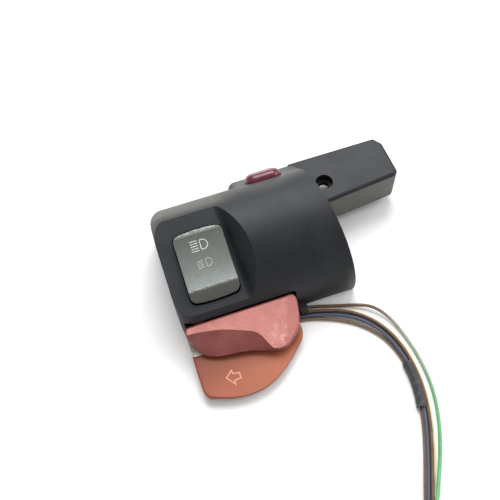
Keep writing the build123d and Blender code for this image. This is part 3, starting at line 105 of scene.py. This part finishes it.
# The signs: a lamp's outline in shares of its radius, then each sign's own sizes in millimetres,
# with the least cosine of half a turn at which a line's corner still comes to a full point
SIGN_THICK = 0.05
SIGN_CUTS = 3
SHARPEST_CORNER = 0.4
LAMP_BACK_SHARES = ((0.5, 0.78), (0.34, 0.97))
LAMP_MIDDLE_SHARE = 0.1
LAMP_FRONT_SHARE = 1.05
LAMP_STEPS = 8
HIGH_LINE = 0.34
HIGH_LAMP = (1.0, 7.9)
HIGH_LAMP_R = 2.05
HIGH_RAYS = 5
HIGH_RAY_ENDS = (-4.1, -1.0)
LOW_LINE = 0.28
LOW_LAMP = (0.95, 0.4)
LOW_LAMP_R = 1.7
LOW_RAYS = 4
LOW_RAY_ENDS = (-3.6, -1.05)
LOW_RAY_TOP = 1.45
LOW_RAY_PITCH = 0.899
LOW_RAY_FALL = 0.75
ARROW_LINE = 0.52
ARROW = (
    (-26.2, -46.2), (-23.3, -43.9), (-23.2, -45.4), (-20.5, -45.7), (-20.6, -48.1),
    (-23.4, -48.3), (-23.3, -50.1),
)

# The turn signal paddle's dish
DISH_X = -13.3
DISH_Y = -45.34
DISH_R = 300.0
DISH_LOW_Z = 4.7

# The floor's half width, and the studio's light: sizes and places in metres, powers in watts
FLOOR_HALF = 3.0
SKY_STRENGTH = 0.6
SOFT_BOXES = (
    ("back_box", (0.15, 0.5, 0.75), 7.5, 0.6),
    ("right_box", (0.7, 0.0, 0.5), 2.5, 0.5),
)


def linear(colour):
    """An sRGB hex colour as linear red, green, blue and alpha."""
    shares = [int(colour[i:i + 2], 16) / 255 for i in (1, 3, 5)]
    return [s / 12.92 if s <= 0.04045 else ((s + 0.055) / 1.055) ** 2.4 for s in shares] + [1.0]


def feed(material, node, inputs):
    """Sets a node's inputs, and links the ones that are given another node's output."""
    for name, value in inputs.items():
        if isinstance(value, bpy.types.NodeSocket):
            material.node_tree.links.new(value, node.inputs[name])
        else:
            node.inputs[name].default_value = linear(value) if isinstance(value, str) else value


def add(material, kind, inputs, output=0, stops=(), **settings):
    """Adds a node with its inputs and settings, and gives one of its outputs."""
    node = material.node_tree.nodes.new(kind)
    for name, value in settings.items():
        setattr(node, name, value)
    for i, (where, value) in enumerate(stops):
        band = node.color_ramp.elements
        mark = band[i] if i < 2 else band.new(1.0)
        mark.position = where
        mark.color = linear(value) if isinstance(value, str) else (value, value, value, 1.0)
    feed(material, node, inputs)
    return node.outputs[output]


def blank(name):
    """A new material with its shader, and the object's own coordinates."""
    material = bpy.data.materials.new(name)
    material.use_nodes = True
    shader = material.node_tree.nodes["Principled BSDF"]
    return material, shader, add(material, "ShaderNodeTexCoord", {}, "Object")


def cloud(material, place, size_mm, detail, stops):
    """Cloudy patches about as large as size_mm, toned by stops."""
    noise = add(material, "ShaderNodeTexNoise", {
        "Vector": place, "Scale": 1 / (size_mm * MM), "Detail": detail, "Roughness": 0.6,
    })
    return add(material, "ShaderNodeValToRGB", {"Fac": noise}, stops=stops)


def along(material, place, direction, start_mm, end_mm, stops):
    """Tones between two distances along a direction."""
    dot = add(
        material, "ShaderNodeVectorMath", {0: place, 1: direction}, "Value", operation="DOT_PRODUCT"
    )
    share = add(material, "ShaderNodeMapRange", {
        "Value": dot, "From Min": start_mm * MM, "From Max": end_mm * MM,
    })
    return add(material, "ShaderNodeValToRGB", {"Fac": share}, stops=stops)


def near(material, place, centre_mm, radius_mm):
    """1 at a point, falling to 0 at radius_mm from it."""
    centre = [c * MM for c in centre_mm]
    gap = add(
        material, "ShaderNodeVectorMath", {0: place, 1: centre}, "Value", operation="DISTANCE"
    )
    return add(material, "ShaderNodeMapRange", {
        "Value": gap, "From Min": 0.0, "From Max": radius_mm * MM, "To Min": 1.0, "To Max": 0.0,
    })


def facing(material, axis, stops):
    """Tones by how much the surface faces an axis."""
    normal = add(material, "ShaderNodeNewGeometry", {}, "Normal")
    dot = add(
        material, "ShaderNodeVectorMath", {0: normal, 1: axis}, "Value", operation="DOT_PRODUCT"
    )
    return add(material, "ShaderNodeValToRGB", {"Fac": dot}, stops=stops)


def laid(material, under, top, share, *others):
    """The top tone laid over the one under it, where share and all the others are high."""
    for other in others:
        share = add(material, "ShaderNodeMath", {0: share, 1: other}, operation="MULTIPLY")
    return add(
        material, "ShaderNodeMix", {"Factor": share, 6: under, 7: top}, 2, data_type="RGBA"
    )


def grain(material, place, grain_mm, height_mm, strength=0.5):
    """The surface's fine relief: a mould's grain of about 0.1 mm is drawn coarser, so it shows."""
    fine = add(material, "ShaderNodeTexNoise", {
        "Vector": place, "Scale": 1 / (grain_mm * MM), "Detail": 2.0, "Roughness": 0.6,
    })
    return add(material, "ShaderNodeBump", {
        "Height": fine, "Distance": height_mm * MM, "Strength": strength,
    })


def moulded_plastic(name, colour, worn, roughness=0.5):
    """Injection moulded plastic with a spark-eroded grain: faded in patches, with fine scuffs."""
    material, shader, place = blank(name)
    faded = cloud(material, place, 14, 4, ((0.35, 0.0), (0.7, 0.45)))
    scuffs = cloud(material, place, 1.1, 6, ((0.6, 0.0), (0.75, 0.35)))
    share = add(material, "ShaderNodeMath", {0: faded, 1: scuffs}, operation="MAXIMUM")
    shine = ((0.3, roughness - 0.06), (0.7, roughness + 0.08))
    feed(material, shader, {
        "Base Color": laid(material, colour, worn, share),
        "Roughness": cloud(material, place, 14, 4, shine),
        "Specular IOR Level": 0.3,
        "Normal": grain(material, place, 0.45, 0.03),
    })
    return material


def faded_black_abs():
    """Black ABS of the housing: charcoal, painted greyer where it faces up and back, as painted
    light.
    """
    material, shader, place = blank("faded_black_abs")
    tone = cloud(material, place, 16, 4, ((0.35, "#16181c"), (0.7, "#202328")))
    # The faces that look up and back, the drum's top and the boss, are painted greyer: painted
    # light from above and behind.
    painted_light_top_back = facing(material, (0.1, 0.55, 0.83), ((0.6, 0.0), (0.98, 0.45)))
    tone = laid(material, tone, "#3b3d40", painted_light_top_back)
    # The sunk panel is painted a little paler than the wall beside it, as painted light on its
    # upturned face.
    flat = facing(material, (0, -0.37, 0.929), ((0.985, 0.0), (0.998, 0.5)))
    sunk = along(material, place, (1, 0, 0), -9, -5, ((0.0, 1.0), (1.0, 0.0)))
    tone = laid(material, tone, "#3d4044", flat, sunk)
    # Dust and hands have turned the arm's front a warm grey; the boss round the button is painted
    # paler where it faces up and back, painted light over dust.
    boss = near(material, place, (14, 31, 25), 22)
    arm = along(material, place, (0.096, -0.995, 0), -9.6, -5.0, ((0.0, 0.0), (0.15, 0.75)))
    front = facing(material, (0.096, -0.995, 0), ((0.9, 0.0), (0.99, 1.0)))
    reach = along(material, place, (1, 0, 0), 34, 40, ((0.0, 0.0), (1.0, 1.0)))
    tone = laid(material, tone, "#65665f", arm, front, reach)
    # Painted light: only the boss's faces that look up and back are paled.
    back = facing(material, (0, 0.65, 0.76), ((0.8, 0.0), (0.99, 0.8)))
    tone = laid(material, tone, "#6a6a65", boss, back)
    # The panel's left and back rims are rubbed pale by hands and bags, and painted paler where they
    # face up and back, as painted light.
    left = along(material, place, (1, 0, 0), -37.5, -31.0, ((0.0, 1.0), (1.0, 0.0)))
    back = along(material, place, (0, 0.93, 0.37), 26.5, 31.0, ((0.0, 0.0), (0.8, 1.0)))
    drum = along(material, place, (1, 0, 0), -14, 2, ((0.3, 1.0), (1.0, 0.0)))
    behind = add(material, "ShaderNodeMath", {0: back, 1: drum}, operation="MULTIPLY")
    rim = add(material, "ShaderNodeMath", {0: left, 1: behind}, operation="MAXIMUM")
    # Painted light: only the rims that look up and back are paled.
    edge = facing(material, (-0.35, 0.55, 0.75), ((0.66, 0.0), (0.96, 1.0)))
    broken = cloud(material, place, 2.4, 8, ((0.2, 0.4), (0.8, 0.75)))
    tone = laid(material, tone, "#77766f", rim, edge, broken)
    dust = cloud(material, place, 0.9, 8, ((0.6, 0.0), (0.76, 0.35)))
    feed(material, shader, {
        "Base Color": laid(material, tone, "#55565a", dust),
        "Roughness": cloud(material, place, 16, 4, ((0.3, 0.46), (0.7, 0.58))),
        "Specular IOR Level": 0.32,
        "Normal": grain(material, place, 0.5, 0.04, 0.6),
    })
    return material


def worn_grey_rocker():
    """Grey ABS of the rocker, thumbed smooth: painted shade at its front lip and a painted
    reflection palest just behind it.
    """
    material, shader, place = blank("worn_grey_abs_rocker")
    # Painted light along the slope: a dark front lip, a painted reflection of the dish palest just
    # behind it, darker again towards the back.
    tone = along(material, place, (0, 0.929, 0.370), -9.7, 19.9, (
        (0.0, "#4b4c48"), (0.16, "#555651"), (0.2, "#8b918e"), (0.45, "#757a76"), (0.97, "#5c5f5a"),
    ))
    # Painted shade on the faces that don't look up: the front lip and the sides.
    side = facing(material, (0, -0.370, 0.929), ((0.3, 1.0), (0.75, 0.0)))
    tone = laid(material, tone, "#545856", side)
    # The moulded edges are painted pale, the crease before the front lip and the back rim in
    # specks: painted highlights along the edges, partly worn polish.
    rim_highlight_and_wear = along(material, place, (0, 0.929, 0.370), -9.7, 19.9, (
        (0.155, 0.0), (0.185, 0.6), (0.21, 0.0), (0.94, 0.0), (0.98, 0.9),
    ))
    broken = cloud(material, place, 1.3, 6, ((0.42, 0.0), (0.6, 0.7)))
    tone = laid(material, tone, "#cfd2cc", rim_highlight_and_wear, broken)
    grime = cloud(material, place, 1.6, 8, ((0.52, 0.0), (0.72, 0.5)))
    tone = laid(material, tone, "#5f635d", grime)
    specks = cloud(material, place, 0.5, 3, ((0.66, 0.0), (0.72, 0.4)))
    feed(material, shader, {
        "Base Color": laid(material, tone, "#c9ccc6", specks),
        "Roughness": cloud(material, place, 5, 4, ((0.3, 0.34), (0.7, 0.46))),
        "Specular IOR Level": 0.4,
        "Normal": grain(material, place, 0.7, 0.015, 0.4),
    })
    return material


def faded_red_horn():
    """Red ABS faded to pink: painted palest on top and deeper red where faces turn from the lamp,
    as painted light and shade.
    """
    material, shader, place = blank("faded_red_abs_horn")
    # Painted light and shade by facing: the top painted pale, the scoop and sides deeper red.
    tone = facing(material, (0, -0.39, 0.92), (
        (0.2, "#6c3330"), (0.93, "#86433f"), (0.985, "#d28c84"),
    ))
    cloudy = cloud(material, place, 7, 4, ((0.4, 0.0), (0.7, 0.35)))
    tone = laid(material, tone, "#a9655f", cloudy)
    # Painted shade: darker towards the bottom of the scoop.
    low = along(material, place, (0, 0, 1), 6.6, 11.0, ((0.0, 0.5), (1.0, 0.0)))
    tone = laid(material, tone, "#7d403c", low)
    # The ridge beside the scoop and the right corner are painted pale in specks: a painted
    # highlight along the ridge, partly thumb wear.
    nose = near(material, place, (0.5, -38.5, 11.0), 7.0)
    corner = near(material, place, (9.5, -35.0, 11.5), 5.0)
    ridge_highlight_and_wear = add(material, "ShaderNodeMath", {0: nose, 1: corner}, operation="MAXIMUM")
    broken = cloud(material, place, 1.6, 6, ((0.48, 0.0), (0.62, 0.8)))
    tone = laid(material, tone, "#ecb8af", ridge_highlight_and_wear, broken)
    # Right of a soft ridge that runs from the back to the nose the top is a tone deeper: painted
    # shade on the facet that turns right and forward.
    right = along(material, place, (0.93, -0.37, 0), 15.5, 17.5, ((0.0, 0.0), (1.0, 0.5)))
    tone = laid(material, tone, "#b06a62", right)
    dirt = cloud(material, place, 1.0, 8, ((0.58, 0.0), (0.74, 0.5)))
    feed(material, shader, {
        "Base Color": laid(material, tone, "#6b403d", dirt),
        "Roughness": 0.5,
        "Specular IOR Level": 0.4,
        "Normal": grain(material, place, 0.45, 0.03),
    })
    return material


def faded_orange_paddle():
    """Orange ABS, paler towards the right, with painted shade on its rim and near the horn."""
    material, shader, place = blank("faded_orange_abs_paddle")
    tone = along(material, place, (1, 0, 0), -34, 6, (
        (0.0, "#9b5135"), (0.5, "#a75c3d"), (1.0, "#b66847"),
    ))
    cloudy = cloud(material, place, 6, 4, ((0.38, 0.0), (0.72, 0.45)))
    tone = laid(material, tone, "#99502f", cloudy)
    # Painted shade on the faces that don't look up: the rim.
    side = facing(material, (0, 0, 1), ((0.55, 0.8), (0.97, 0.0)))
    tone = laid(material, tone, "#8a3c22", side)
    shade = along(material, place, (0.25, -0.97, 0), 32, 43, ((0.0, 0.7), (1.0, 0.0)))
    tone = laid(material, tone, "#7a3a24", shade)
    dirt = cloud(material, place, 1.2, 8, ((0.58, 0.0), (0.74, 0.45)))
    feed(material, shader, {
        "Base Color": laid(material, tone, "#74402c", dirt),
        "Roughness": 0.48,
        "Specular IOR Level": 0.4,
        "Normal": grain(material, place, 0.45, 0.025),
    })
    return material


def maroon_button_plastic():
    """Dark red plastic from a smooth mould: it shines softly where thumbs have polished it."""
    material, shader, place = blank("polished_maroon_plastic")
    feed(material, shader, {
        "Base Color": cloud(material, place, 4, 4, ((0.3, "#551025"), (0.7, "#681630"))),
        "Roughness": cloud(material, place, 1.5, 6, ((0.45, 0.26), (0.7, 0.4))),
        "IOR": 1.5,
        "Coat Weight": 0.15,
        "Coat Roughness": 0.2,
    })
    return material


def satin_cover(material, shader, place, tone):
    """A wire's extruded cover: satin, with soft waves along it."""
    feed(material, shader, {
        "Base Color": tone,
        "Roughness": 0.4,
        "Specular IOR Level": 0.4,
        "Normal": grain(material, place, 1.2, 0.03, 0.3),
    })
    return material


def wire_vinyl(name, colour, dirty):
    """Soft vinyl of one colour, grubby from the loom's tape."""
    material, shader, place = blank(name)
    grubby = cloud(material, place, 3.5, 6, ((0.4, 0.0), (0.72, 0.6)))
    return satin_cover(material, shader, place, laid(material, colour, dirty, grubby))


def green_wire_vinyl():
    """Brown vinyl with a broad pale green tracer, which turns to the top past the first bend."""
    material, shader, place = blank("brown_vinyl_green_tracer")
    tone = along(material, place, (0, 1, 0), -90, -36, (
        (0.0, "#62b276"), (0.3, "#7dae85"), (0.75, "#a5ab98"), (1.0, "#6e5745"),
    ))
    grubby = cloud(material, place, 3.5, 6, ((0.45, 0.0), (0.75, 0.35)))
    return satin_cover(material, shader, place, laid(material, tone, "#5c5346", grubby))


def dusty_vinyl(name, colour, dust_colour, roughness=0.55):
    """Black vinyl sheath or tape: dull, wrinkled a little, with dust in the wrinkles."""
    material, shader, place = blank(name)
    dust = cloud(material, place, 2.0, 8, ((0.5, 0.0), (0.75, 0.6)))
    feed(material, shader, {
        "Base Color": laid(material, colour, dust_colour, dust),
        "Roughness": roughness,
        "Specular IOR Level": 0.35,
        "Normal": grain(material, place, 2.5, 0.1),
    })
    return material


def bare_metal(name, colour, stained, roughness):
    """Drawn, turned or stamped metal, stained a little with age."""
    material, shader, place = blank(name)
    stain = cloud(material, place, 1.5, 6, ((0.4, 0.0), (0.75, 0.7)))
    feed(material, shader, {
        "Base Color": laid(material, colour, stained, stain),
        "Metallic": 1.0,
        "Roughness": roughness,
        "Normal": grain(material, place, 0.3, 0.01, 0.3),
    })
    return material


def natural_nylon():
    """Undyed nylon: ivory, waxy and a little see-through at its edges."""
    material, shader, place = blank("natural_nylon")
    feed(material, shader, {
        "Base Color": cloud(material, place, 3, 6, ((0.35, "#c4beb0"), (0.7, "#9f998a"))),
        "Roughness": 0.45,
        "Subsurface Weight": 0.15,
        "Subsurface Radius": (0.001, 0.001, 0.0008),
        "Normal": grain(material, place, 0.8, 0.02, 0.3),
    })
    return material


def pad_print(name, colour, faded, lost):
    """Ink printed with a pad: matt, thin, and rubbed off in specks."""
    material, shader, place = blank(name)
    rubbed = cloud(material, place, 0.7, 4, ((0.5, 0.0), (0.62, lost)))
    feed(material, shader, {
        "Base Color": laid(material, colour, faded, rubbed),
        "Roughness": 0.6,
    })
    return material


def finish_nodes():
    """Gives every CAD node the finish of the real piece, and returns the finishes by node."""
    steel = bare_metal("zinc_plated_steel", "#a9a79c", "#6f6a5c", 0.42)
    brass = bare_metal("contact_brass", "#b08a4e", "#6d5433", 0.36)
    spring = bare_metal("spring_steel_wire", "#9c9c9c", "#5f5a52", 0.33)
    black = moulded_plastic("black_nylon_moulding", "#1f2022", "#3a3b3d", 0.5)
    cover = moulded_plastic("black_abs_cover", "#242528", "#3f4144", 0.52)
    nylon = natural_nylon()
    sleeve = dusty_vinyl("torn_black_vinyl_sleeve", "#383a3d", "#73746f")
    sheath = dusty_vinyl("black_vinyl_sheath", "#1b1b1d", "#4a4a4a", 0.42)
    finishes = {
        "front_housing": faded_black_abs(),
        "rear_cover": cover,
        "rocker_cap": worn_grey_rocker(),
        "horn_paddle": faded_red_horn(),
        "turn_paddle": faded_orange_paddle(),
        "button_cap": maroon_button_plastic(),
        "wire_cream": wire_vinyl("cream_vinyl_wire", "#e6d9ac", "#b38f52"),
        "wire_grey": wire_vinyl("grey_vinyl_wire", "#74716b", "#4c4944"),
        "wire_brown": wire_vinyl("brown_vinyl_wire", "#7c6650", "#4c4138"),
        "wire_dark_brown": wire_vinyl("dark_brown_vinyl_wire", "#6c5443", "#40342b"),
        "wire_blue": wire_vinyl("blue_vinyl_wire", "#4b5368", "#50473e"),
        "wire_green": green_wire_vinyl(),
        "loom_sleeve": sleeve, "torn_sleeve": sleeve, "inner_loom": sheath,
        "sheath_lead": sheath, "sheath_coil": sheath,
        "nylon_stop": nylon, "detent_plunger": nylon, "connector_body": nylon,
        "connector_latch": nylon,
    }
    for name in (
        "cover_screws", "rocker_frame_screws", "paddle_carrier_screws", "horn_pin", "turn_pin",
    ):
        finishes[name] = steel
    for name in ("detent_spring", "horn_spring", "turn_spring", "button_spring"):
        finishes[name] = spring
    for name in (
        "dimmer_contacts", "horn_contacts", "turn_contacts", "button_contacts", "rocker_blades",
        "horn_bridge", "turn_bridge", "button_bridge", "connector_terminals",
    ):
        finishes[name] = brass
    for name, node in NODES.items():
        node.data.materials.clear()
        node.data.materials.append(finishes.get(name, black))
    return finishes


def show(name, data):
    """A new object in the scene, made of data."""
    thing = bpy.data.objects.new(name, data)
    bpy.context.collection.objects.link(thing)
    return thing


def place_camera():
    """The photograph's camera, rolled as it was."""
    elevation, azimuth, roll = (radians(a) for a in (CAMERA_ELEVATION, CAMERA_AZIMUTH, CAMERA_ROLL))
    back = Vector((sin(azimuth) * cos(elevation), -cos(azimuth) * cos(elevation), sin(elevation)))
    right = Vector((cos(azimuth), sin(azimuth), 0))
    up = back.cross(right)
    across = right * cos(roll) - up * sin(roll)
    upright = right * sin(roll) + up * cos(roll)
    data = bpy.data.cameras.new("photo_camera")
    data.sensor_width = CAMERA_SENSOR
    data.lens = CAMERA_FOCAL_PX / PICTURE_PX * CAMERA_SENSOR
    data.clip_start = CAMERA_NEAR * MM
    camera = show("photo_camera", data)
    turn = Matrix((across, upright, back)).transposed().to_4x4()
    spot = (Vector(CAMERA_TARGET) + back * CAMERA_DISTANCE) * MM
    camera.matrix_world = Matrix.Translation(spot) @ turn
    bpy.context.scene.camera = camera


def smooth_curve(name, points_mm, steps):
    """One smooth curve with the route's points as its control points."""
    data = bpy.data.curves.new(name, "CURVE")
    data.dimensions = "3D"
    data.resolution_u = steps
    spline = data.splines.new("NURBS")
    spline.points.add(len(points_mm) - 1)
    for point, place in zip(spline.points, points_mm):
        point.co = (*(c * MM for c in place), 1.0)
    spline.order_u = 3
    spline.use_endpoint_u = True
    return data


def round_cord(name, points_mm, diameter_mm, material, *replaced):
    """A round cord on a smooth curve, in place of the source's tubes."""
    data = smooth_curve(name, points_mm, CORD_STEPS)
    data.bevel_depth = diameter_mm / 2 * MM
    data.bevel_resolution = CORD_SIDES_STEPS
    data.use_fill_caps = True
    data.materials.append(material)
    cord = show(name, data)
    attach(cord, "base")
    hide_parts(*replaced)
    return cord


def bends(points, closed=False):
    """For each point of a line, its mean heading there and half of its turn."""
    made = []
    for i, (x, y) in enumerate(points):
        ahead = points[(i + 1) % len(points)] if closed or i < len(points) - 1 else None
        behind = points[i - 1] if closed or i else None
        after = atan2(ahead[1] - y, ahead[0] - x) if ahead else None
        before = atan2(y - behind[1], x - behind[0]) if behind else after
        after = before if after is None else after
        half = ((after - before + pi) % (2 * pi) - pi) / 2
        made.append((before + half, half))
    return made


def side_points(sides, heights):
    """The bundle's route moved sideways by each of sides, at each of heights."""
    made = []
    for (x, y), (middle, half), side, height in zip(ROUTE, bends(ROUTE), sides, heights):
        out = side / cos(half)
        made.append((x - out * sin(middle), y + out * cos(middle), height))
    return made


def spline_length(points_mm):
    """The length in millimetres of the smooth curve on these control points."""
    data = smooth_curve("measure", points_mm, MEASURE_STEPS)
    thread = bpy.data.objects.new("measure", data)
    mesh = bpy.data.meshes.new_from_object(thread)
    ends = [[mesh.vertices[i].co for i in edge.vertices] for edge in mesh.edges]
    total = sum((a - b).length for a, b in ends)
    bpy.data.objects.remove(thread)
    bpy.data.curves.remove(data)
    bpy.data.meshes.remove(mesh)
    return total / MM


def lay_wires(finishes):
    """The six wires, from the outlet to the loom's sleeve."""
    routes = {name: side_points(*sides) for name, sides in WIRES.items()}
    routes["wire_green"] = GREEN_WIRE
    for name, points in routes.items():
        cord = round_cord("vinyl_" + name, points, WIRE_D, finishes[name], name)
        spline_length(points) * MM


def coil_sheath(finishes):
    """The sheath: a lead out of the loom's sleeve, then its turns, ending in the connector."""
    (x0, y0), (x1, y1) = ROUTE[-2:]
    way = Vector((x1 - x0, y1 - y0, 0)).normalized()
    left = Vector((-way.y, way.x, 0))
    sleeve = Vector((x1, y1, 0)) + way * LOOM_GAP
    start = sleeve + way * (SLEEVE_LENGTH + LOOM_GAP / 2)
    middle = sleeve + way * (SLEEVE_LENGTH + LEAD_LENGTH) + left * COIL_R
    points = [(start.x, start.y, SLEEVE_R)]
    corner = cos(radians(COIL_STEP / 2))
    heading = atan2(-left.y, -left.x)
    inner = middle + left * COIL_TAIL_IN
    for centre, first, radii in (
        (middle, heading, COIL_RADII), (inner, heading + pi, COIL_TAIL_RADII),
    ):
        for i, radius in enumerate(radii):
            angle = first + radians(COIL_STEP * (i + 0.5))
            spot = centre + Vector((cos(angle), sin(angle), 0)) * (radius / corner)
            points.append((spot.x, spot.y, SHEATH_R))
    angle = heading + pi + radians(COIL_STEP * len(COIL_TAIL_RADII))
    out = Vector((-sin(angle), cos(angle), 0))
    end = inner + Vector((cos(angle), sin(angle), 0)) * COIL_TAIL_RADII[-1] + out * (2 * SHEATH_R)
    points.append((end.x, end.y, SHEATH_R))
    cord = round_cord(
        "vinyl_sheath", points, 2 * SHEATH_R, finishes["sheath_coil"], "sheath_lead", "sheath_coil"
    )
    spline_length(points) * MM


def flat_piece(name, build, height, material, body):
    """A thin printed or inlaid mark: build draws it flat, and height lays it on its surface."""
    mesh = bpy.data.meshes.new(name)
    drawing = bmesh.new()
    build(drawing)
    bmesh.ops.subdivide_edges(drawing, edges=drawing.edges[:], cuts=SIGN_CUTS, use_grid_fill=True)
    bmesh.ops.triangulate(drawing, faces=drawing.faces[:])
    bmesh.ops.recalc_face_normals(drawing, faces=drawing.faces[:])
    for face in drawing.faces:
        if face.normal.z < 0:
            face.normal_flip()
    swell = bmesh.ops.extrude_face_region(drawing, geom=drawing.faces[:])
    raised = {v for v in swell["geom"] if isinstance(v, bmesh.types.BMVert)}
    for vert in drawing.verts:
        vert.co.z = SIGN_THICK if vert in raised else -SIGN_THICK
        vert.co = height(vert.co)
    bmesh.ops.recalc_face_normals(drawing, faces=drawing.faces[:])
    drawing.to_mesh(mesh)
    drawing.free()
    mesh.materials.append(material)
    piece = show(name, mesh)
    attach(piece, body)
    return piece


def on_rocker(co):
    """A point drawn on the rocker's flat, in millimetres, laid on its dished top, in metres."""
    drop = sqrt(ROCKER_DISH_R**2 - (co.y - ROCKER_DISH_MIDDLE) ** 2)
    w = ROCKER_DISH_LOW + ROCKER_DISH_R - drop + co.z
    tilt = radians(PANEL_TILT)
    v = co.y + ROCKER_V
    return Vector((
        co.x + ROCKER_X,
        PANEL_FOOT[0] + v * cos(tilt) - w * sin(tilt),
        PANEL_FOOT[1] + v * sin(tilt) + w * cos(tilt),
    )) * MM


def on_dish(co):
    """A point drawn on the turn signal paddle, in millimetres, laid in its dish, in metres."""
    fall = sqrt(DISH_R**2 - (co.x - DISH_X) ** 2 - (co.y - DISH_Y) ** 2)
    return Vector((co.x, co.y, DISH_LOW_Z + DISH_R - fall + co.z)) * MM


def stroke(drawing, points, width, closed=False):
    """A drawn line of even width through points."""
    sides = []
    for (x, y), (middle, half) in zip(points, bends(points, closed)):
        reach = width / 2 / max(cos(half), SHARPEST_CORNER)
        offset = (-sin(middle) * reach, cos(middle) * reach)
        sides.append([
            drawing.verts.new((x + k * offset[0], y + k * offset[1], 0)) for k in (1, -1)
        ])
    pairs = list(zip(sides, sides[1:])) + ([(sides[-1], sides[0])] if closed else [])
    for a, b in pairs:
        drawing.faces.new((a[0], b[0], b[1], a[1]))


def lamp_bowl(centre, size):
    """The outline of a headlamp: flat on its left, round on its right."""
    shares = [(-x, y) for x, y in LAMP_BACK_SHARES]
    for i in range(1, LAMP_STEPS):
        angle = pi / 2 - pi * i / LAMP_STEPS
        shares.append((LAMP_FRONT_SHARE * cos(angle) - LAMP_MIDDLE_SHARE, sin(angle)))
    shares += [(-x, -y) for x, y in reversed(LAMP_BACK_SHARES)]
    return [(centre[0] + size * x, centre[1] + size * y) for x, y in shares]


def high_beam(drawing):
    """The common sign for high beam: a lamp and five level rays."""
    stroke(drawing, lamp_bowl(HIGH_LAMP, HIGH_LAMP_R), HIGH_LINE, closed=True)
    for i in range(HIGH_RAYS):
        y = HIGH_LAMP[1] + HIGH_LAMP_R * (1 - 2 * i / (HIGH_RAYS - 1))
        stroke(drawing, [(x, y) for x in HIGH_RAY_ENDS], HIGH_LINE)


def low_beam(drawing):
    """The common sign for low beam: a lamp and rays that slope down."""
    stroke(drawing, lamp_bowl(LOW_LAMP, LOW_LAMP_R), LOW_LINE, closed=True)
    left, right = LOW_RAY_ENDS
    for i in range(LOW_RAYS):
        y = LOW_LAMP[1] + LOW_RAY_TOP - LOW_RAY_PITCH * i
        stroke(drawing, [(left, y - LOW_RAY_FALL), (right, y)], LOW_LINE)


def turn_arrow(drawing):
    """An outlined arrow to the left."""
    stroke(drawing, ARROW, ARROW_LINE, closed=True)


def print_signs():
    """The signs on the rocker, and the arrow on the turn signal paddle."""
    bright = pad_print("white_pad_print", "#dcdeda", "#9ba09b", 0.7)
    faded = pad_print("faded_white_pad_print", "#b9bdb8", "#868b86", 0.9)
    pink = pad_print("pale_inlay_print", "#d99c85", "#b97457", 0.6)
    flat_piece("high_beam_sign", high_beam, on_rocker, bright, "rocker")
    flat_piece("low_beam_sign", low_beam, on_rocker, faded, "rocker")
    flat_piece("turn_arrow_inlay", turn_arrow, on_dish, pink, "turn")


def lay_floor():
    """The pale sheet that the photograph was taken on."""
    mesh = bpy.data.meshes.new("floor")
    sheet = bmesh.new()
    bmesh.ops.create_grid(sheet, x_segments=2, y_segments=2, size=FLOOR_HALF)
    sheet.to_mesh(mesh)
    sheet.free()
    floor = show("floor", mesh)
    material, shader, place = blank("white_paper_sweep")
    feed(material, shader, {
        "Base Color": cloud(material, place, 300, 4, ((0.3, "#fafafa"), (0.7, "#ffffff"))),
        "Roughness": 0.9,
        "Specular IOR Level": 0.1,
    })
    mesh.materials.append(material)


def hang_light(name, place, energy, size):
    """A square soft box that faces the origin."""
    data = bpy.data.lights.new(name, "AREA")
    data.energy = energy
    data.size = size
    lamp = show(name, data)
    lamp.location = place
    lamp.rotation_euler = Vector(place).to_track_quat("Z", "Y").to_euler()


def light_studio():
    """Soft light from above and behind, as on a copy stand."""
    world = bpy.data.worlds.new("studio")
    world.use_nodes = True
    background = world.node_tree.nodes["Background"]
    background.inputs["Color"].default_value = (1, 1, 1, 1)
    background.inputs["Strength"].default_value = SKY_STRENGTH
    bpy.context.scene.world = world
    for box in SOFT_BOXES:
        hang_light(*box)


bpy.context.scene.view_settings.view_transform = "Standard"
place_camera()
FINISHES = finish_nodes()
lay_wires(FINISHES)
coil_sheath(FINISHES)
print_signs()
lay_floor()
light_studio()
bpy.context.view_layer.update()
